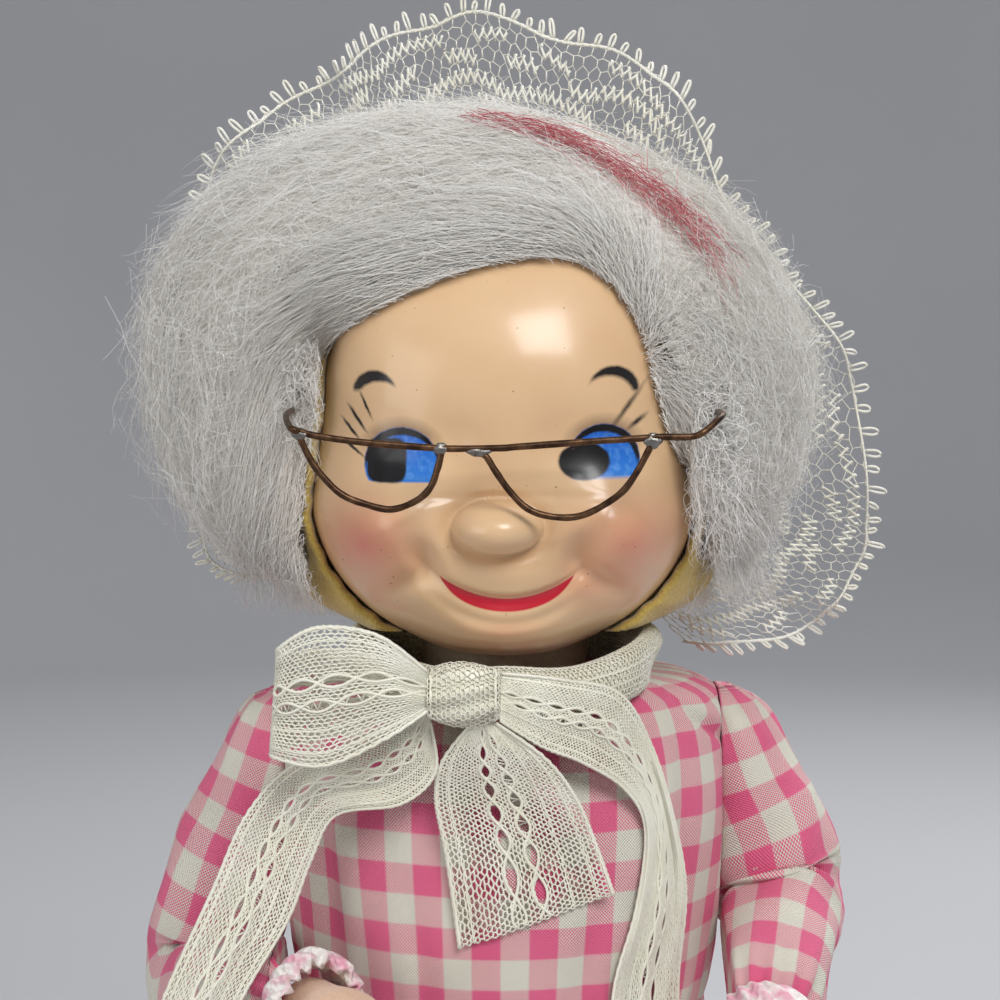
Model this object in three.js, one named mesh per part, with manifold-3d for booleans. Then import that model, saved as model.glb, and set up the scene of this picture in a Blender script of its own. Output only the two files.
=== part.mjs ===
// Bottle-cover doll: a card sleeve, padded and dressed as a granny, that slips over a bottle.
// Its head turns on the neck tube, its arms swing on wires and its spectacles pull out of the wig.
// Millimetres, +Z up, origin under the middle of the base, the doll faces -Y and its left is +X.
import * as THREE from 'three';
import { mergeVertices } from 'three/addons/utils/BufferGeometryUtils.js';
import Module from 'manifold-3d';

// Fits
const seat = 0.3; // between two pieces that touch
const turnGap = 1.0; // between the head and what it turns above
const clothGap = 0.4; // between cloth and what it covers

// Card core
const sleeveBore = 80;
const sleeveWall = 1.2;
const sleeveHeight = 190;
const coneRise = 42;
const neckBore = 34;
const neckWall = 1.5;
const neckShow = 16.2; // neck tube from the shoulder cone to the chin
const neckInsert = 57; // neck tube inside the head
const roundSides = 32;

// Skirt, waistband and bodice
const hemLift = 1;
const waistDrop = 34; // top of the skirt below the top of the card sleeve
const hemRadius = 90;
const skirtFolds = 16;
const foldDepth = 9; // crest to valley at the hem
const clothPadding = 2; // cloth with its lining
const waistbandHeight = 10;
const waistPadding = 4;
const bellyPadding = 6.5;
const chestPadding = 9.5;
const chestDepthPadding = 5;
const shoulderSlope = 15; // height of the rounded shoulder

// Neck lace and bow
const neckLaceHeight = 7.4;
const neckLaceHalfWidth = 34;
const neckLaceForward = 49.5; // how far it stands out under the chin
const neckLacePleats = 16;
const knotWidth = 14.4;
const knotDepth = 11;
const knotHeight = 12.4;
const knotSide = -8; // the knot sits off centre, to the doll's right
const loopLength = 29;
const loopHalfHeight = 14;
const loopHalfDepth = 4.2;
const ribbonThickness = 1.6;

// Arms
const armPadding = 6.5; // from the card sleeve to the flat of the armhole
const armLength = 50; // shoulder to wrist, as the arm hangs
const shoulderDrop = 8.3; // wire below the top of the shoulder cone
const upperArmRadius = 15;
const elbowRadius = 13.5;
const wristRadius = 9.5;
const wireRadius = 1.2;
const wireHead = 2.6; // radius of the bead that keeps the wire in its bush
const bushRadius = 4;
const bushLength = 10;
const cuffLength = 9;
const cuffFlare = 3;
const handLength = 30;
const handHalfWidth = 8.5;
const handHalfDepth = 6;
const handDroop = 12; // fingertips below the line of the forearm

// Head
const maskHalfWidth = 40;
const maskDrop = 41.2; // eye line to chin
const maskRise = 53; // eye line to the top edge under the hair
const maskRim = 23; // front of the mask's edge, ahead of the neck axis
const maskDome = 27;
const maskWall = 1.8;
const noseSide = -2;
const noseDrop = 12.7;
const noseHalfWidth = 8.7;
const noseHalfHeight = 5.5;
const noseReach = 11;
const lipWidth = 2.6; // yellow cloth that shows round the mask
const lipReach = 2.2;
const headBackDepth = 38;
const socketWall = 2;
const socketRoof = 2.5;

// Wig and bonnet
const wigHalfWidth = 74;
const wigFront = 50;
const wigBack = 62;
const wigRise = 75;
const wigDrop = 33;
const streakRadius = 1.2;
const ruffleSetBack = 8;
const ruffleThickness = 1.4;
const ruffleFolds = 13;
const ruffleWave = 3;
const crownThickness = 1.4;

// Spectacles
const glassesStandoff = 10; // wire ahead of the mask's dome
const glassesWire = 0.65; // radius
const templeSpread = 43;
const templeLength = 36;
const leftLensWidth = 33;
const rightLensWidth = 26.4;
const lensDrop = 14;
const templeBend = 12; // wire from the front to the bend at the temple

// Heights and radii that follow
const sleeveR = sleeveBore / 2 + sleeveWall;
const neckR = neckBore / 2 + neckWall;
const coneBase = sleeveHeight + seat;
const coneTop = coneBase + coneRise;
const neckBase = coneTop + seat;
const chinZ = neckBase + neckShow;
const neckTop = chinZ + neckInsert;
const faceZ = chinZ + maskDrop;
const skirtTop = sleeveHeight - waistDrop;
const skirtHeight = skirtTop - hemLift;
const waistbandBase = skirtTop + seat;
const bodiceBase = waistbandBase + waistbandHeight + seat;
const neckLaceTop = chinZ - turnGap;
const neckLaceBase = neckLaceTop - neckLaceHeight;
const bodiceTop = neckLaceBase - seat;
const shoulderZ = coneTop - shoulderDrop;
const armholeX = sleeveR + armPadding;
const socketR = neckR + seat + socketWall;
const socketTop = neckTop + seat + socketRoof;
const glassesReach = maskRim + maskDome + glassesStandoff;

const wasm = await Module();
wasm.setup();

// Positions only, shared corners merged, no slivers and faces turned outwards.
function weld(geometry) {
  geometry.deleteAttribute('normal');
  geometry.deleteAttribute('uv');
  const merged = mergeVertices(geometry, 1e-4);
  const at = merged.getAttribute('position');
  const index = merged.getIndex().array;
  const faces = [];
  let volume = 0;
  const a = new THREE.Vector3();
  const b = new THREE.Vector3();
  const c = new THREE.Vector3();
  for (let i = 0; i < index.length; i += 3) {
    const [p, q, r] = [index[i], index[i + 1], index[i + 2]];
    if (p === q || q === r || r === p) continue;
    faces.push(p, q, r);
    a.fromBufferAttribute(at, p);
    b.fromBufferAttribute(at, q);
    c.fromBufferAttribute(at, r);
    volume += a.dot(b.cross(c));
  }
  if (volume < 0) faces.reverse();
  merged.setIndex(faces);
  return merged;
}

function toSolid(geometry) {
  const welded = weld(geometry.clone());
  return new wasm.Manifold(new wasm.Mesh({
    numProp: 3,
    vertProperties: new Float32Array(welded.getAttribute('position').array),
    triVerts: new Uint32Array(welded.getIndex().array),
  }));
}

function toGeometry(solid) {
  const mesh = solid.getMesh();
  const geometry = new THREE.BufferGeometry();
  geometry.setAttribute('position', new THREE.BufferAttribute(new Float32Array(mesh.vertProperties), 3));
  geometry.setIndex(new THREE.BufferAttribute(new Uint32Array(mesh.triVerts), 1));
  return geometry;
}

function cut(geometry, ...tools) {
  return toGeometry(tools.reduce((solid, tool) => solid.subtract(toSolid(tool)), toSolid(geometry)));
}

function join(geometry, ...others) {
  return toGeometry(others.reduce((solid, other) => solid.add(toSolid(other)), toSolid(geometry)));
}

function keepInside(geometry, tool) {
  return toGeometry(toSolid(geometry).intersect(toSolid(tool)));
}

// A skin over rows of points, each row a closed ring with the same count.
// With ends the first and last rows close on a point; without, the last row meets the first.
function skin(rows, ends) {
  const count = rows[0].length;
  const points = rows.flat();
  const faces = [];
  const strips = ends ? rows.length - 1 : rows.length;
  for (let i = 0; i < strips; i++) {
    const here = i * count;
    const next = ((i + 1) % rows.length) * count;
    for (let j = 0; j < count; j++) {
      const k = (j + 1) % count;
      faces.push(here + j, here + k, next + k, here + j, next + k, next + j);
    }
  }
  if (ends) {
    const last = (rows.length - 1) * count;
    points.push(ends[0], ends[1]);
    for (let j = 0; j < count; j++) {
      const k = (j + 1) % count;
      faces.push(points.length - 2, k, j, points.length - 1, last + j, last + k);
    }
  }
  const geometry = new THREE.BufferGeometry().setFromPoints(points);
  geometry.setIndex(faces);
  return weld(geometry);
}

function middle(row) {
  return row.reduce((sum, p) => sum.add(p), new THREE.Vector3()).divideScalar(row.length);
}

function capped(rows) {
  return skin(rows, [middle(rows[0]), middle(rows.at(-1))]);
}

function ring(count, place) {
  return Array.from({ length: count }, (_, j) => place((2 * Math.PI * j) / count));
}

function oval(z, halfX, halfY, count = roundSides, offsetY = 0) {
  return ring(count, (a) => new THREE.Vector3(halfX * Math.cos(a), offsetY + halfY * Math.sin(a), z));
}

// A turned piece: its closed profile of radius and height, spun about Z.
function turned(profile, sides = roundSides) {
  const points = [...profile, profile[0]].map(([r, z]) => new THREE.Vector2(r, z));
  return weld(new THREE.LatheGeometry(points, sides).rotateX(Math.PI / 2));
}

function block(low, high) {
  const size = high.map((h, i) => h - low[i]);
  const centre = high.map((h, i) => (h + low[i]) / 2);
  return new THREE.BoxGeometry(...size).translate(...centre);
}

function rod(radius, from, to, sides = 16) {
  const axis = to.clone().sub(from);
  const geometry = new THREE.CylinderGeometry(radius, radius, axis.length(), sides);
  const turn = new THREE.Quaternion().setFromUnitVectors(new THREE.Vector3(0, 1, 0), axis.normalize());
  return geometry.applyQuaternion(turn).translate(...from.clone().add(to).multiplyScalar(0.5).toArray());
}

function wireAlong(points, radius, sides, steps) {
  const section = new THREE.Shape(ring(sides, (a) => new THREE.Vector2(radius * Math.cos(a), radius * Math.sin(a))));
  const path = new THREE.CatmullRomCurve3(points, false, 'centripetal');
  return weld(new THREE.ExtrudeGeometry(section, { steps, extrudePath: path, bevelEnabled: false }));
}

const doll = new THREE.Group();

function add(name, geometry, color, roughness, metalness = 0, parent = doll) {
  const mesh = new THREE.Mesh(geometry, new THREE.MeshStandardMaterial({ color, roughness, metalness }));
  mesh.name = name;
  parent.add(mesh);
}

const card = '#b9a98c';
const gingham = '#f0a6bd';
const ivoryLace = '#e6e2cf';
const peach = '#e8c49e';
const yellowCloth = '#d7b95a';
const whiteHair = '#e1ded7';
const bronzeWire = '#5a3e2a';

// Card core: a tube for the bottle's body, a cone on its shoulder and a tube over its neck.
const shoulderBushX = sleeveR + ((shoulderZ - coneBase) / coneRise) * (neckR - sleeveR);
const bushHole = bushRadius + seat;

function crossBar(radius) {
  return rod(radius, new THREE.Vector3(-2 * armholeX, 0, shoulderZ), new THREE.Vector3(2 * armholeX, 0, shoulderZ));
}

add('bottle_sleeve', turned([
  [sleeveBore / 2, 0], [sleeveR, 0], [sleeveR, sleeveHeight], [sleeveBore / 2, sleeveHeight],
]), card, 0.9);
add('shoulder_cone', cut(turned([
  [sleeveBore / 2, coneBase], [sleeveR, coneBase], [neckR, coneTop], [neckBore / 2, coneTop],
]), crossBar(bushHole)), card, 0.9);
add('neck_tube', turned([
  [neckBore / 2, neckBase], [neckR, neckBase], [neckR, neckTop], [neckBore / 2, neckTop],
]), card, 0.9);

// Skirt: gathered at the waist, its folds opening to the hem.
function skirtRow(share, inset) {
  const flare = share ** 0.85;
  const crest = sleeveR + clothPadding + clothGap + foldDepth * 0.12;
  const reach = crest + (hemRadius - crest) * flare - inset;
  const depth = (foldDepth / 2) * (0.12 + 0.88 * share);
  return ring(skirtFolds * 5, (a) => {
    const r = reach - depth * (1 - Math.cos(skirtFolds * a));
    return new THREE.Vector3(r * Math.cos(a), r * Math.sin(a), skirtTop - share * skirtHeight);
  });
}
const skirtShares = [0, 0.14, 0.4, 0.7, 1];
add('skirt', skin([
  ...skirtShares.map((share) => skirtRow(share, 0)),
  ...skirtShares.map((share) => skirtRow(share, clothPadding)).reverse(),
]), gingham, 0.95);
add('waistband', turned([
  [sleeveR + clothGap, waistbandBase], [sleeveR + waistPadding, waistbandBase],
  [sleeveR + waistPadding, waistbandBase + waistbandHeight], [sleeveR + clothGap, waistbandBase + waistbandHeight],
]), gingham, 0.95);

// Bodice: padded over the core, rounded at the shoulders and flat where the arms lie against it.
// Its midriff goes round the card sleeve, and the rest stands on the shoulder cone.
const chestZ = shoulderZ - upperArmRadius * 0.75;
const bodiceOutside = [
  [bodiceBase, waistPadding - 1, waistPadding - 1],
  [bodiceBase + (chestZ - bodiceBase) * 0.35, bellyPadding, chestDepthPadding - 1],
  [chestZ, chestPadding, chestDepthPadding],
  [bodiceTop - shoulderSlope, chestPadding - 1, chestDepthPadding - 4],
  [bodiceTop - shoulderSlope * 0.4, chestPadding - 5, chestDepthPadding - 8.5],
  [bodiceTop - shoulderSlope * 0.1, chestPadding - 13, chestDepthPadding - 15],
  [bodiceTop, chestPadding - 19, chestDepthPadding - 19],
].map(([z, padX, padY]) => oval(z, sleeveR + padX, sleeveR + padY));
const bodiceInside = [
  [bodiceTop, neckR], [coneTop, neckR], [coneBase, sleeveR], [bodiceBase, sleeveR],
].map(([z, r]) => oval(z, r + clothGap, r + clothGap));
const betweenArms = block([-armholeX + seat, -2 * armholeX, 0], [armholeX - seat, 2 * armholeX, chinZ]);
const bodiceShell = keepInside(skin([...bodiceOutside, ...bodiceInside]), betweenArms);
const belowCone = (top) => block([-2 * armholeX, -2 * armholeX, 0], [2 * armholeX, 2 * armholeX, top]);
add('bodice', cut(bodiceShell, belowCone(coneBase + seat), crossBar(bushHole)), gingham, 0.95);
add('bodice_midriff', keepInside(bodiceShell, belowCone(coneBase)), gingham, 0.95);

// Lace round the neck: a pleated band that stands forward under the chin, where the bow is tied.
const laceBack = neckR + 12;
const laceMiddle = (laceBack - neckLaceForward) / 2;
const laceHalfDepth = (laceBack + neckLaceForward) / 2;
function neckLaceRow(z, inset, pleat) {
  return ring(neckLacePleats * 4, (a) => {
    const slack = (1 + Math.sin(a)) / 2; // drawn tight in front, where it is tied
    const wave = slack * pleat * (1 - Math.cos(neckLacePleats * (a + Math.PI / 2))) / 2;
    return new THREE.Vector3(
      (neckLaceHalfWidth - inset - wave) * Math.cos(a), laceMiddle + (laceHalfDepth - inset - wave) * Math.sin(a), z);
  });
}
add('neck_lace', cut(skin([
  neckLaceRow(neckLaceBase, 0.4, 2), neckLaceRow(neckLaceTop, 0, 3),
  neckLaceRow(neckLaceTop, 9, 0), neckLaceRow(neckLaceBase, 9, 0),
]), turned([[0, 0], [neckR + clothGap, 0], [neckR + clothGap, 2 * chinZ], [0, 2 * chinZ]])), ivoryLace, 0.8);

// Bow: a tight knot, one open loop and three hanging ends of ribbon lace.
const knotBack = laceHalfDepth * Math.sqrt(1 - (knotSide / neckLaceHalfWidth) ** 2) - laceMiddle + seat;
const knotY = -knotBack - knotDepth / 2;
const knotZ = neckLaceBase + knotHeight / 2 - 2.2;
add('bow_knot', capped([-1, -0.8, -0.3, 0.3, 0.8, 1].map((share) => {
  const swell = Math.sqrt(1 - 0.45 * share * share);
  return ring(12, (a) => new THREE.Vector3(
    knotSide + (share * knotWidth) / 2,
    knotY + (knotDepth / 2) * swell * Math.cos(a),
    knotZ + (knotHeight / 2) * swell * Math.sin(a)));
})), ivoryLace, 0.8);
const knotRight = knotSide - knotWidth / 2 - seat;
const loopShares = [[0, 0.33, 0.5], [0.3, 0.75, 0.85], [0.62, 0.98, 1], [0.86, 1, 0.9], [1, 0.8, 0.45]];
add('bow_loop', capped(loopShares.map(([share, tall, deep]) => ring(12, (a) => new THREE.Vector3(
  knotRight - share * loopLength,
  knotY + loopHalfDepth * deep * Math.cos(a),
  knotZ + 0.5 + loopHalfHeight * tall * Math.sin(a))))), ivoryLace, 0.8);

// A ribbon end from pairs of edge points: each is sideways and up from the knot, and back from its middle.
function ribbon(pairs) {
  const half = new THREE.Vector3(0, ribbonThickness / 2, 0);
  const at = ([x, z, back]) => new THREE.Vector3(knotSide + x, knotY + back, knotZ + z);
  return capped(pairs.map((pair) => {
    const [p, q] = pair.map(at);
    return [p.clone().sub(half), q.clone().sub(half), q.clone().add(half), p.clone().add(half)];
  }));
}
const knotFoot = -knotHeight / 2 - seat;
const knotFlank = knotWidth / 2 + seat;
add('bow_center_tail', ribbon([
  [[1.7, knotFoot, 0], [6.5, knotFoot, 0]],
  [[-4.9, -14.5, 3], [17, -14.5, 3]],
  [[-5.9, -22.5, 6], [23, -22.5, 6]],
  [[-3.5, -34.5, 6.4], [27.5, -34.5, 8.4]],
  [[-1, -54, 6.2], [30.7, -43, 9]],
]), ivoryLace, 0.8);
add('bow_right_tail', ribbon([
  [[-knotFlank, -1.5, 3], [-knotFlank, -5, 3]],
  [[-16, -8, 6], [-12, -21, 6]],
  [[-32, -14, 6], [-23, -25, 6]],
  [[-44, -25.5, 6], [-30.5, -34.5, 6]],
  [[-51, -41, 5], [-35.6, -47.5, 5]],
  [[-62, -62.5, 3], [-46.8, -62.5, 3]],
  [[-66, -78, 4], [-51.5, -79, 4]],
]), ivoryLace, 0.8);
add('bow_left_tail', ribbon([
  [[knotFlank, 4, 0], [knotFlank, -5.5, 0]],
  [[20, 2.5, 2.5], [16, -12, 4]],
  [[31.5, -1, 9], [23.7, -15.5, 7]],
  [[38.5, -14, 16], [32.5, -22, 11.5]],
  [[43, -28, 17.5], [37, -31, 13.5]],
  [[46.2, -45.5, 20], [34, -47.5, 12]],
  [[44.7, -64.5, 20], [30, -64, 11]],
  [[45, -84, 19], [30, -84, 10]],
]), ivoryLace, 0.8);

// A stuffed limb: round rows along a straight line, swelling between its ends.
function stuffed(from, to, shares, sides = 14) {
  const axis = to.clone().sub(from);
  const turn = new THREE.Quaternion().setFromUnitVectors(new THREE.Vector3(0, 0, 1), axis.clone().normalize());
  return capped(shares.map(([along, radius]) => ring(sides, (a) => new THREE.Vector3(
    radius * Math.cos(a), radius * Math.sin(a), 0).applyQuaternion(turn).add(from).addScaledVector(axis, along))));
}

// One arm: wire in a bush at the shoulder, stuffed sleeve, lace cuff and mitten hand.
// Its elbow and wrist are placed outwards, forwards and upwards as shares of the arm's length.
function addArm(side, name, elbowAt, wristAt) {
  const shoulder = new THREE.Vector3(side * armholeX, 0, shoulderZ);
  const fromShoulder = ([out, forward, up]) => new THREE.Vector3(side * out, forward, up)
    .multiplyScalar(armLength).add(shoulder);
  const elbow = fromShoulder(elbowAt);
  const wrist = fromShoulder(wristAt);
  const reach = wrist.clone().sub(elbow).normalize();
  const wirePoints = [
    new THREE.Vector3(side * (shoulderBushX - bushLength / 2 - wireHead), 0, shoulderZ),
    new THREE.Vector3(side * (armholeX - 8), 0, shoulderZ),
    new THREE.Vector3(side * (armholeX + 1), 0, shoulderZ),
    shoulder.clone().lerp(elbow, 0.45).add(new THREE.Vector3(side * 2, 0, 0)),
    elbow.clone().addScaledVector(reach, -1),
    wrist.clone().lerp(elbow, 0.5),
    wrist.clone(),
    wrist.clone().addScaledVector(reach, cuffLength + seat + 8),
  ];
  const wire = (radius) => wireAlong(wirePoints, radius, 6, 18);
  const bead = new THREE.SphereGeometry(wireHead, 8, 6).translate(...wirePoints[0].toArray());
  add(`${name}_arm_wire`, join(wire(wireRadius), bead), bronzeWire, 0.5, 0.8);

  const bushEnds = [-1, 1].map((end) => new THREE.Vector3(
    side * shoulderBushX + (end * bushLength) / 2, 0, shoulderZ));
  add(`${name}_shoulder_bush`, cut(rod(bushRadius, ...bushEnds), crossBar(wireRadius + seat)), '#8a7a60', 0.6);

  const upper = stuffed(shoulder, elbow, [
    [-0.12, upperArmRadius * 0.8], [0, upperArmRadius], [0.35, upperArmRadius * 1.04], [0.75, upperArmRadius * 0.97],
    [1, elbowRadius], [1 + 0.12, elbowRadius * 0.8], [1 + 0.2, elbowRadius * 0.4],
  ]);
  const fore = stuffed(elbow, wrist, [
    [-0.22, elbowRadius * 0.45], [-0.12, elbowRadius * 0.8], [0.1, elbowRadius], [0.45, elbowRadius * 0.97],
    [0.8, (elbowRadius + wristRadius) / 2], [1, wristRadius],
  ]);
  const outside = block([0, -4 * armholeX, 0], [4 * armholeX, 4 * armholeX, 2 * chinZ]).translate(armholeX, 0, 0);
  if (side < 0) outside.translate(-2 * armholeX - 4 * armholeX, 0, 0);
  const arm = keepInside(join(upper, fore), outside);
  add(`${name}_sleeve`, cut(arm, wire(wireRadius + clothGap)), gingham, 0.95);

  // Cuff and hand are made along their own Z, out of the wrist.
  const hand = new THREE.Group();
  hand.position.copy(wrist).addScaledVector(reach, seat);
  hand.quaternion.setFromUnitVectors(new THREE.Vector3(0, 0, 1), reach);
  doll.add(hand);
  const palmRadius = wristRadius - 3.5;
  const cuffRow = (z, radius, wave) => ring(36, (a) => {
    const r = radius - wave * (1 - Math.cos(12 * a)) / 2;
    return new THREE.Vector3(r * Math.cos(a), r * Math.sin(a), z);
  });
  add(`${name}_cuff`, skin([
    cuffRow(0, wristRadius, 0), cuffRow(cuffLength, wristRadius + cuffFlare, 1.6),
    cuffRow(cuffLength, palmRadius + seat, 0), cuffRow(0, palmRadius + seat, 0),
  ]), ivoryLace, 0.8, 0, hand);
  const down = new THREE.Vector3(0, 0, -1).applyQuaternion(hand.quaternion.clone().invert()).setZ(0).normalize();
  const across = new THREE.Vector3(-down.y, down.x, 0);
  const inHand = (share, sideways, downwards) => new THREE.Vector3(0, 0, cuffLength + share * handLength)
    .addScaledVector(across, sideways)
    .addScaledVector(down, downwards + (share > 0 ? handDroop * share * share : 0));
  const palm = capped([
    [-cuffLength / handLength, palmRadius, palmRadius], [0, palmRadius, palmRadius * 0.9],
    [0.2, handHalfWidth, handHalfDepth], [0.5, handHalfWidth * 1.05, handHalfDepth],
    [0.85, handHalfWidth * 0.8, handHalfDepth * 0.8], [1, handHalfWidth * 0.3, handHalfDepth * 0.4],
  ].map(([share, halfWidth, halfDepth]) => ring(12, (a) => inHand(
    share, halfWidth * Math.cos(a), halfDepth * Math.sin(a)))));
  const thumbSide = side * Math.sign(across.x);
  const thumbRoot = inHand(0.25, -thumbSide * handHalfWidth * 0.4, 0);
  const thumbTip = inHand(0.55, -thumbSide * handHalfWidth * 1.6, 0);
  const thumb = stuffed(thumbRoot, thumbTip, [[0, 3.4], [0.7, 3.2], [0.95, 2.2], [1, 1]], 8);
  const wireHole = rod(wireRadius + clothGap, new THREE.Vector3(0, 0, -5), new THREE.Vector3(0, 0, cuffLength + 8.5), 8);
  add(`${name}_hand`, cut(join(palm, thumb), wireHole), peach, 0.8, 0, hand);
}
addArm(1, 'left', [0.3, -0.08, -0.68], [0.14, -0.8, -1]);
addArm(-1, 'right', [0.4, -0.06, -1.04], [-0.14, -0.88, -0.92]);

// Outline of the face from chin to forehead, on the doll's left side and then its right.
const faceSide = [
  [0.27, -0.975 * maskDrop], [0.52, -0.88 * maskDrop], [0.73, -0.75 * maskDrop], [0.9, -0.56 * maskDrop],
  [1, -0.32 * maskDrop], [0.985, -0.1 * maskDrop], [0.94, 0.15 * maskRise], [0.92, 0.38 * maskRise],
  [0.85, 0.62 * maskRise], [0.67, 0.83 * maskRise], [0.36, 0.96 * maskRise],
].map(([x, z]) => [x * maskHalfWidth, z]);
const faceOutline = new THREE.SplineCurve([
  [0, -maskDrop], ...faceSide, [0, maskRise], ...faceSide.map(([x, z]) => [-x, z]).reverse(), [0, -maskDrop],
].map(([x, z]) => new THREE.Vector2(x, z)));
const faceSpokes = 32;
const faceEdge = faceOutline.getPoints(faceSpokes).slice(0, -1);
const noseTip = new THREE.Vector2(noseSide, -noseDrop);

function hump(x, z, atX, atZ, width, reach) {
  return reach * Math.exp(-((x - atX) ** 2 + (z - atZ) ** 2) / (2 * width * width));
}

// How far the face stands ahead of the neck axis, for a share of the way from nose to edge.
function faceReach(x, z, share) {
  const q = ((x - noseSide) / noseHalfWidth) ** 2 + ((z + noseDrop) / noseHalfHeight) ** 2;
  const cheeks = hump(x, z, 0.64 * maskHalfWidth, -0.33 * maskDrop, 9.5, 5)
    + hump(x, z, -0.64 * maskHalfWidth, -0.33 * maskDrop, 9.5, 5);
  const brow = hump(x, z, 0, 0.45 * maskRise, 15, 3);
  const chin = hump(x, z, 0, -0.78 * maskDrop, 6.5, 3);
  const nose = q < 1 ? noseReach * (1 - q) ** 0.6 : 0;
  return maskRim + maskDome * (1 - share ** 3) ** 0.75 + (cheeks + brow + chin) * (1 - share ** 4) + nose;
}

function faceRow(share, back) {
  return faceEdge.map((edge) => {
    const p = noseTip.clone().lerp(edge, share);
    return new THREE.Vector3(p.x, -faceReach(p.x, p.y, share) + back, faceZ + p.y);
  });
}
const faceShares = [0.1, 0.19, 0.27, 0.42, 0.6, 0.78, 0.91, 1];
const faceMiddle = (back) => new THREE.Vector3(noseSide, -faceReach(noseSide, -noseDrop, 0) + back, faceZ - noseDrop);

// Face mask: a thin moulded shell with apple cheeks and a ball nose.
add('face_mask', skin([
  ...faceShares.map((share) => faceRow(share, 0)),
  ...faceShares.map((share) => faceRow(share, maskWall)).reverse(),
], [faceMiddle(0), faceMiddle(maskWall)]), peach, 0.25);

// The edge of the face moved outwards from its middle, at a set distance ahead of the neck axis.
function rimRow(outward, reach) {
  return faceEdge.map((edge) => {
    const p = edge.clone().addScaledVector(edge.clone().normalize(), outward);
    return new THREE.Vector3(p.x, -reach, faceZ + p.y);
  });
}
function domeRows(outward) {
  return [[1, -4], [0.97, -14], [0.84, -25], [0.58, -34]].map(([size, reach]) => rimRow(0, 0).map((p) => new THREE.Vector3(
    p.x * size * (1 + (lipWidth + outward) / maskHalfWidth), -reach + outward,
    faceZ + (p.z - faceZ) * size * (1 + (lipWidth + outward) / maskDrop))));
}
const domeEnd = (outward) => new THREE.Vector3(0, headBackDepth + outward, faceZ);
const lipFront = maskRim + lipReach;

// Stuffed head: fills the mask, wraps its edge with a cloth lip and takes the neck socket from below.
const stuffing = skin([
  ...faceShares.map((share) => faceRow(share, maskWall + seat)),
  rimRow(seat, maskRim - maskWall - seat), rimRow(seat, lipFront), rimRow(lipWidth, lipFront),
  ...domeRows(0),
].reverse(), [domeEnd(0), faceMiddle(maskWall + seat)]);
const underHead = block([-2 * wigHalfWidth, -2 * wigBack, 0], [2 * wigHalfWidth, 2 * wigBack, chinZ + 0.2]);
const socketHole = turned([[0, 0], [socketR + seat, 0], [socketR + seat, socketTop + seat], [0, socketTop + seat]]);
add('head_back', cut(stuffing, underHead, socketHole), yellowCloth, 0.95);
add('head_socket', turned([
  [0, socketTop], [socketR, socketTop], [socketR, chinZ + 2], [neckR + seat, chinZ + 2],
  [neckR + seat, neckTop + seat], [0, neckTop + seat],
]), card, 0.9);

// Wig: a bouffant over the stuffed head, open at the face, with slits for the spectacles' wires.
// Each level is a share of the height, half width, front and back, and how far it leans to the side.
const wigLevels = [
  [-1, 0.68, 0.44, 0.65, 0], [-0.76, 0.86, 0.64, 0.81, 0], [-0.3, 0.96, 0.8, 0.94, 0], [0.13, 1, 0.9, 1, 0],
  [0.37, 0.96, 1, 0.985, -0.04], [0.6, 0.84, 1, 0.87, -0.08], [0.8, 0.65, 0.8, 0.68, -0.08],
  [0.93, 0.4, 0.48, 0.42, -0.05], [1, 0, 0, 0, -0.04],
];
function wigRows(outward) {
  return wigLevels.slice(0, -1).map(([height, wide, front, back, lean]) => {
    const z = faceZ + (height < 0 ? height * (wigDrop + outward) : height * (wigRise + outward));
    return ring(36, (a) => new THREE.Vector3(
      wigHalfWidth * lean + (wigHalfWidth * wide + outward) * Math.cos(a),
      ((Math.sin(a) < 0 ? wigFront * front : wigBack * back) + outward) * Math.sin(a), z));
  });
}
function wigForm(outward) {
  const rows = wigRows(outward);
  return skin(rows, [middle(rows[0]), new THREE.Vector3(wigLevels.at(-1)[4] * wigHalfWidth, 0, faceZ + wigRise + outward)]);
}
const headForm = skin([
  ...faceShares.slice(0, -1).map((share) => faceRow(share, -clothGap)),
  rimRow(lipWidth + clothGap, lipFront + clothGap), ...domeRows(clothGap),
], [faceMiddle(-clothGap), domeEnd(clothGap)]);
const hairline = new THREE.Shape(new THREE.SplineCurve([
  [44, -28], [43, -10], [36, 4], [33, 17], [28, 29], [20, 38], [10, 42], [-5, 40.5], [-21, 34], [-36, 25],
  [-41, 12], [-42, -4], [-44, -28],
].map(([x, z]) => new THREE.Vector2((x / 40) * maskHalfWidth, z))).getPoints(28));
hairline.lineTo(-1.1 * maskHalfWidth, -2 * wigDrop);
hairline.lineTo(1.1 * maskHalfWidth, -2 * wigDrop);
const faceWindow = new THREE.ExtrudeGeometry(hairline, { depth: 2 * wigBack, bevelEnabled: false })
  .rotateX(Math.PI / 2).translate(0, -lipFront + lipReach, faceZ);
const slitHalf = 4;
const templeZ = faceZ + 9;
const templeBack = -glassesReach + templeLength;
const slits = [-1, 1].map((side) => block(
  [side * templeSpread - slitHalf, -2 * wigBack, templeZ - slitHalf - 2],
  [side * templeSpread + slitHalf, templeBack + seat, templeZ + slitHalf]));
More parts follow.
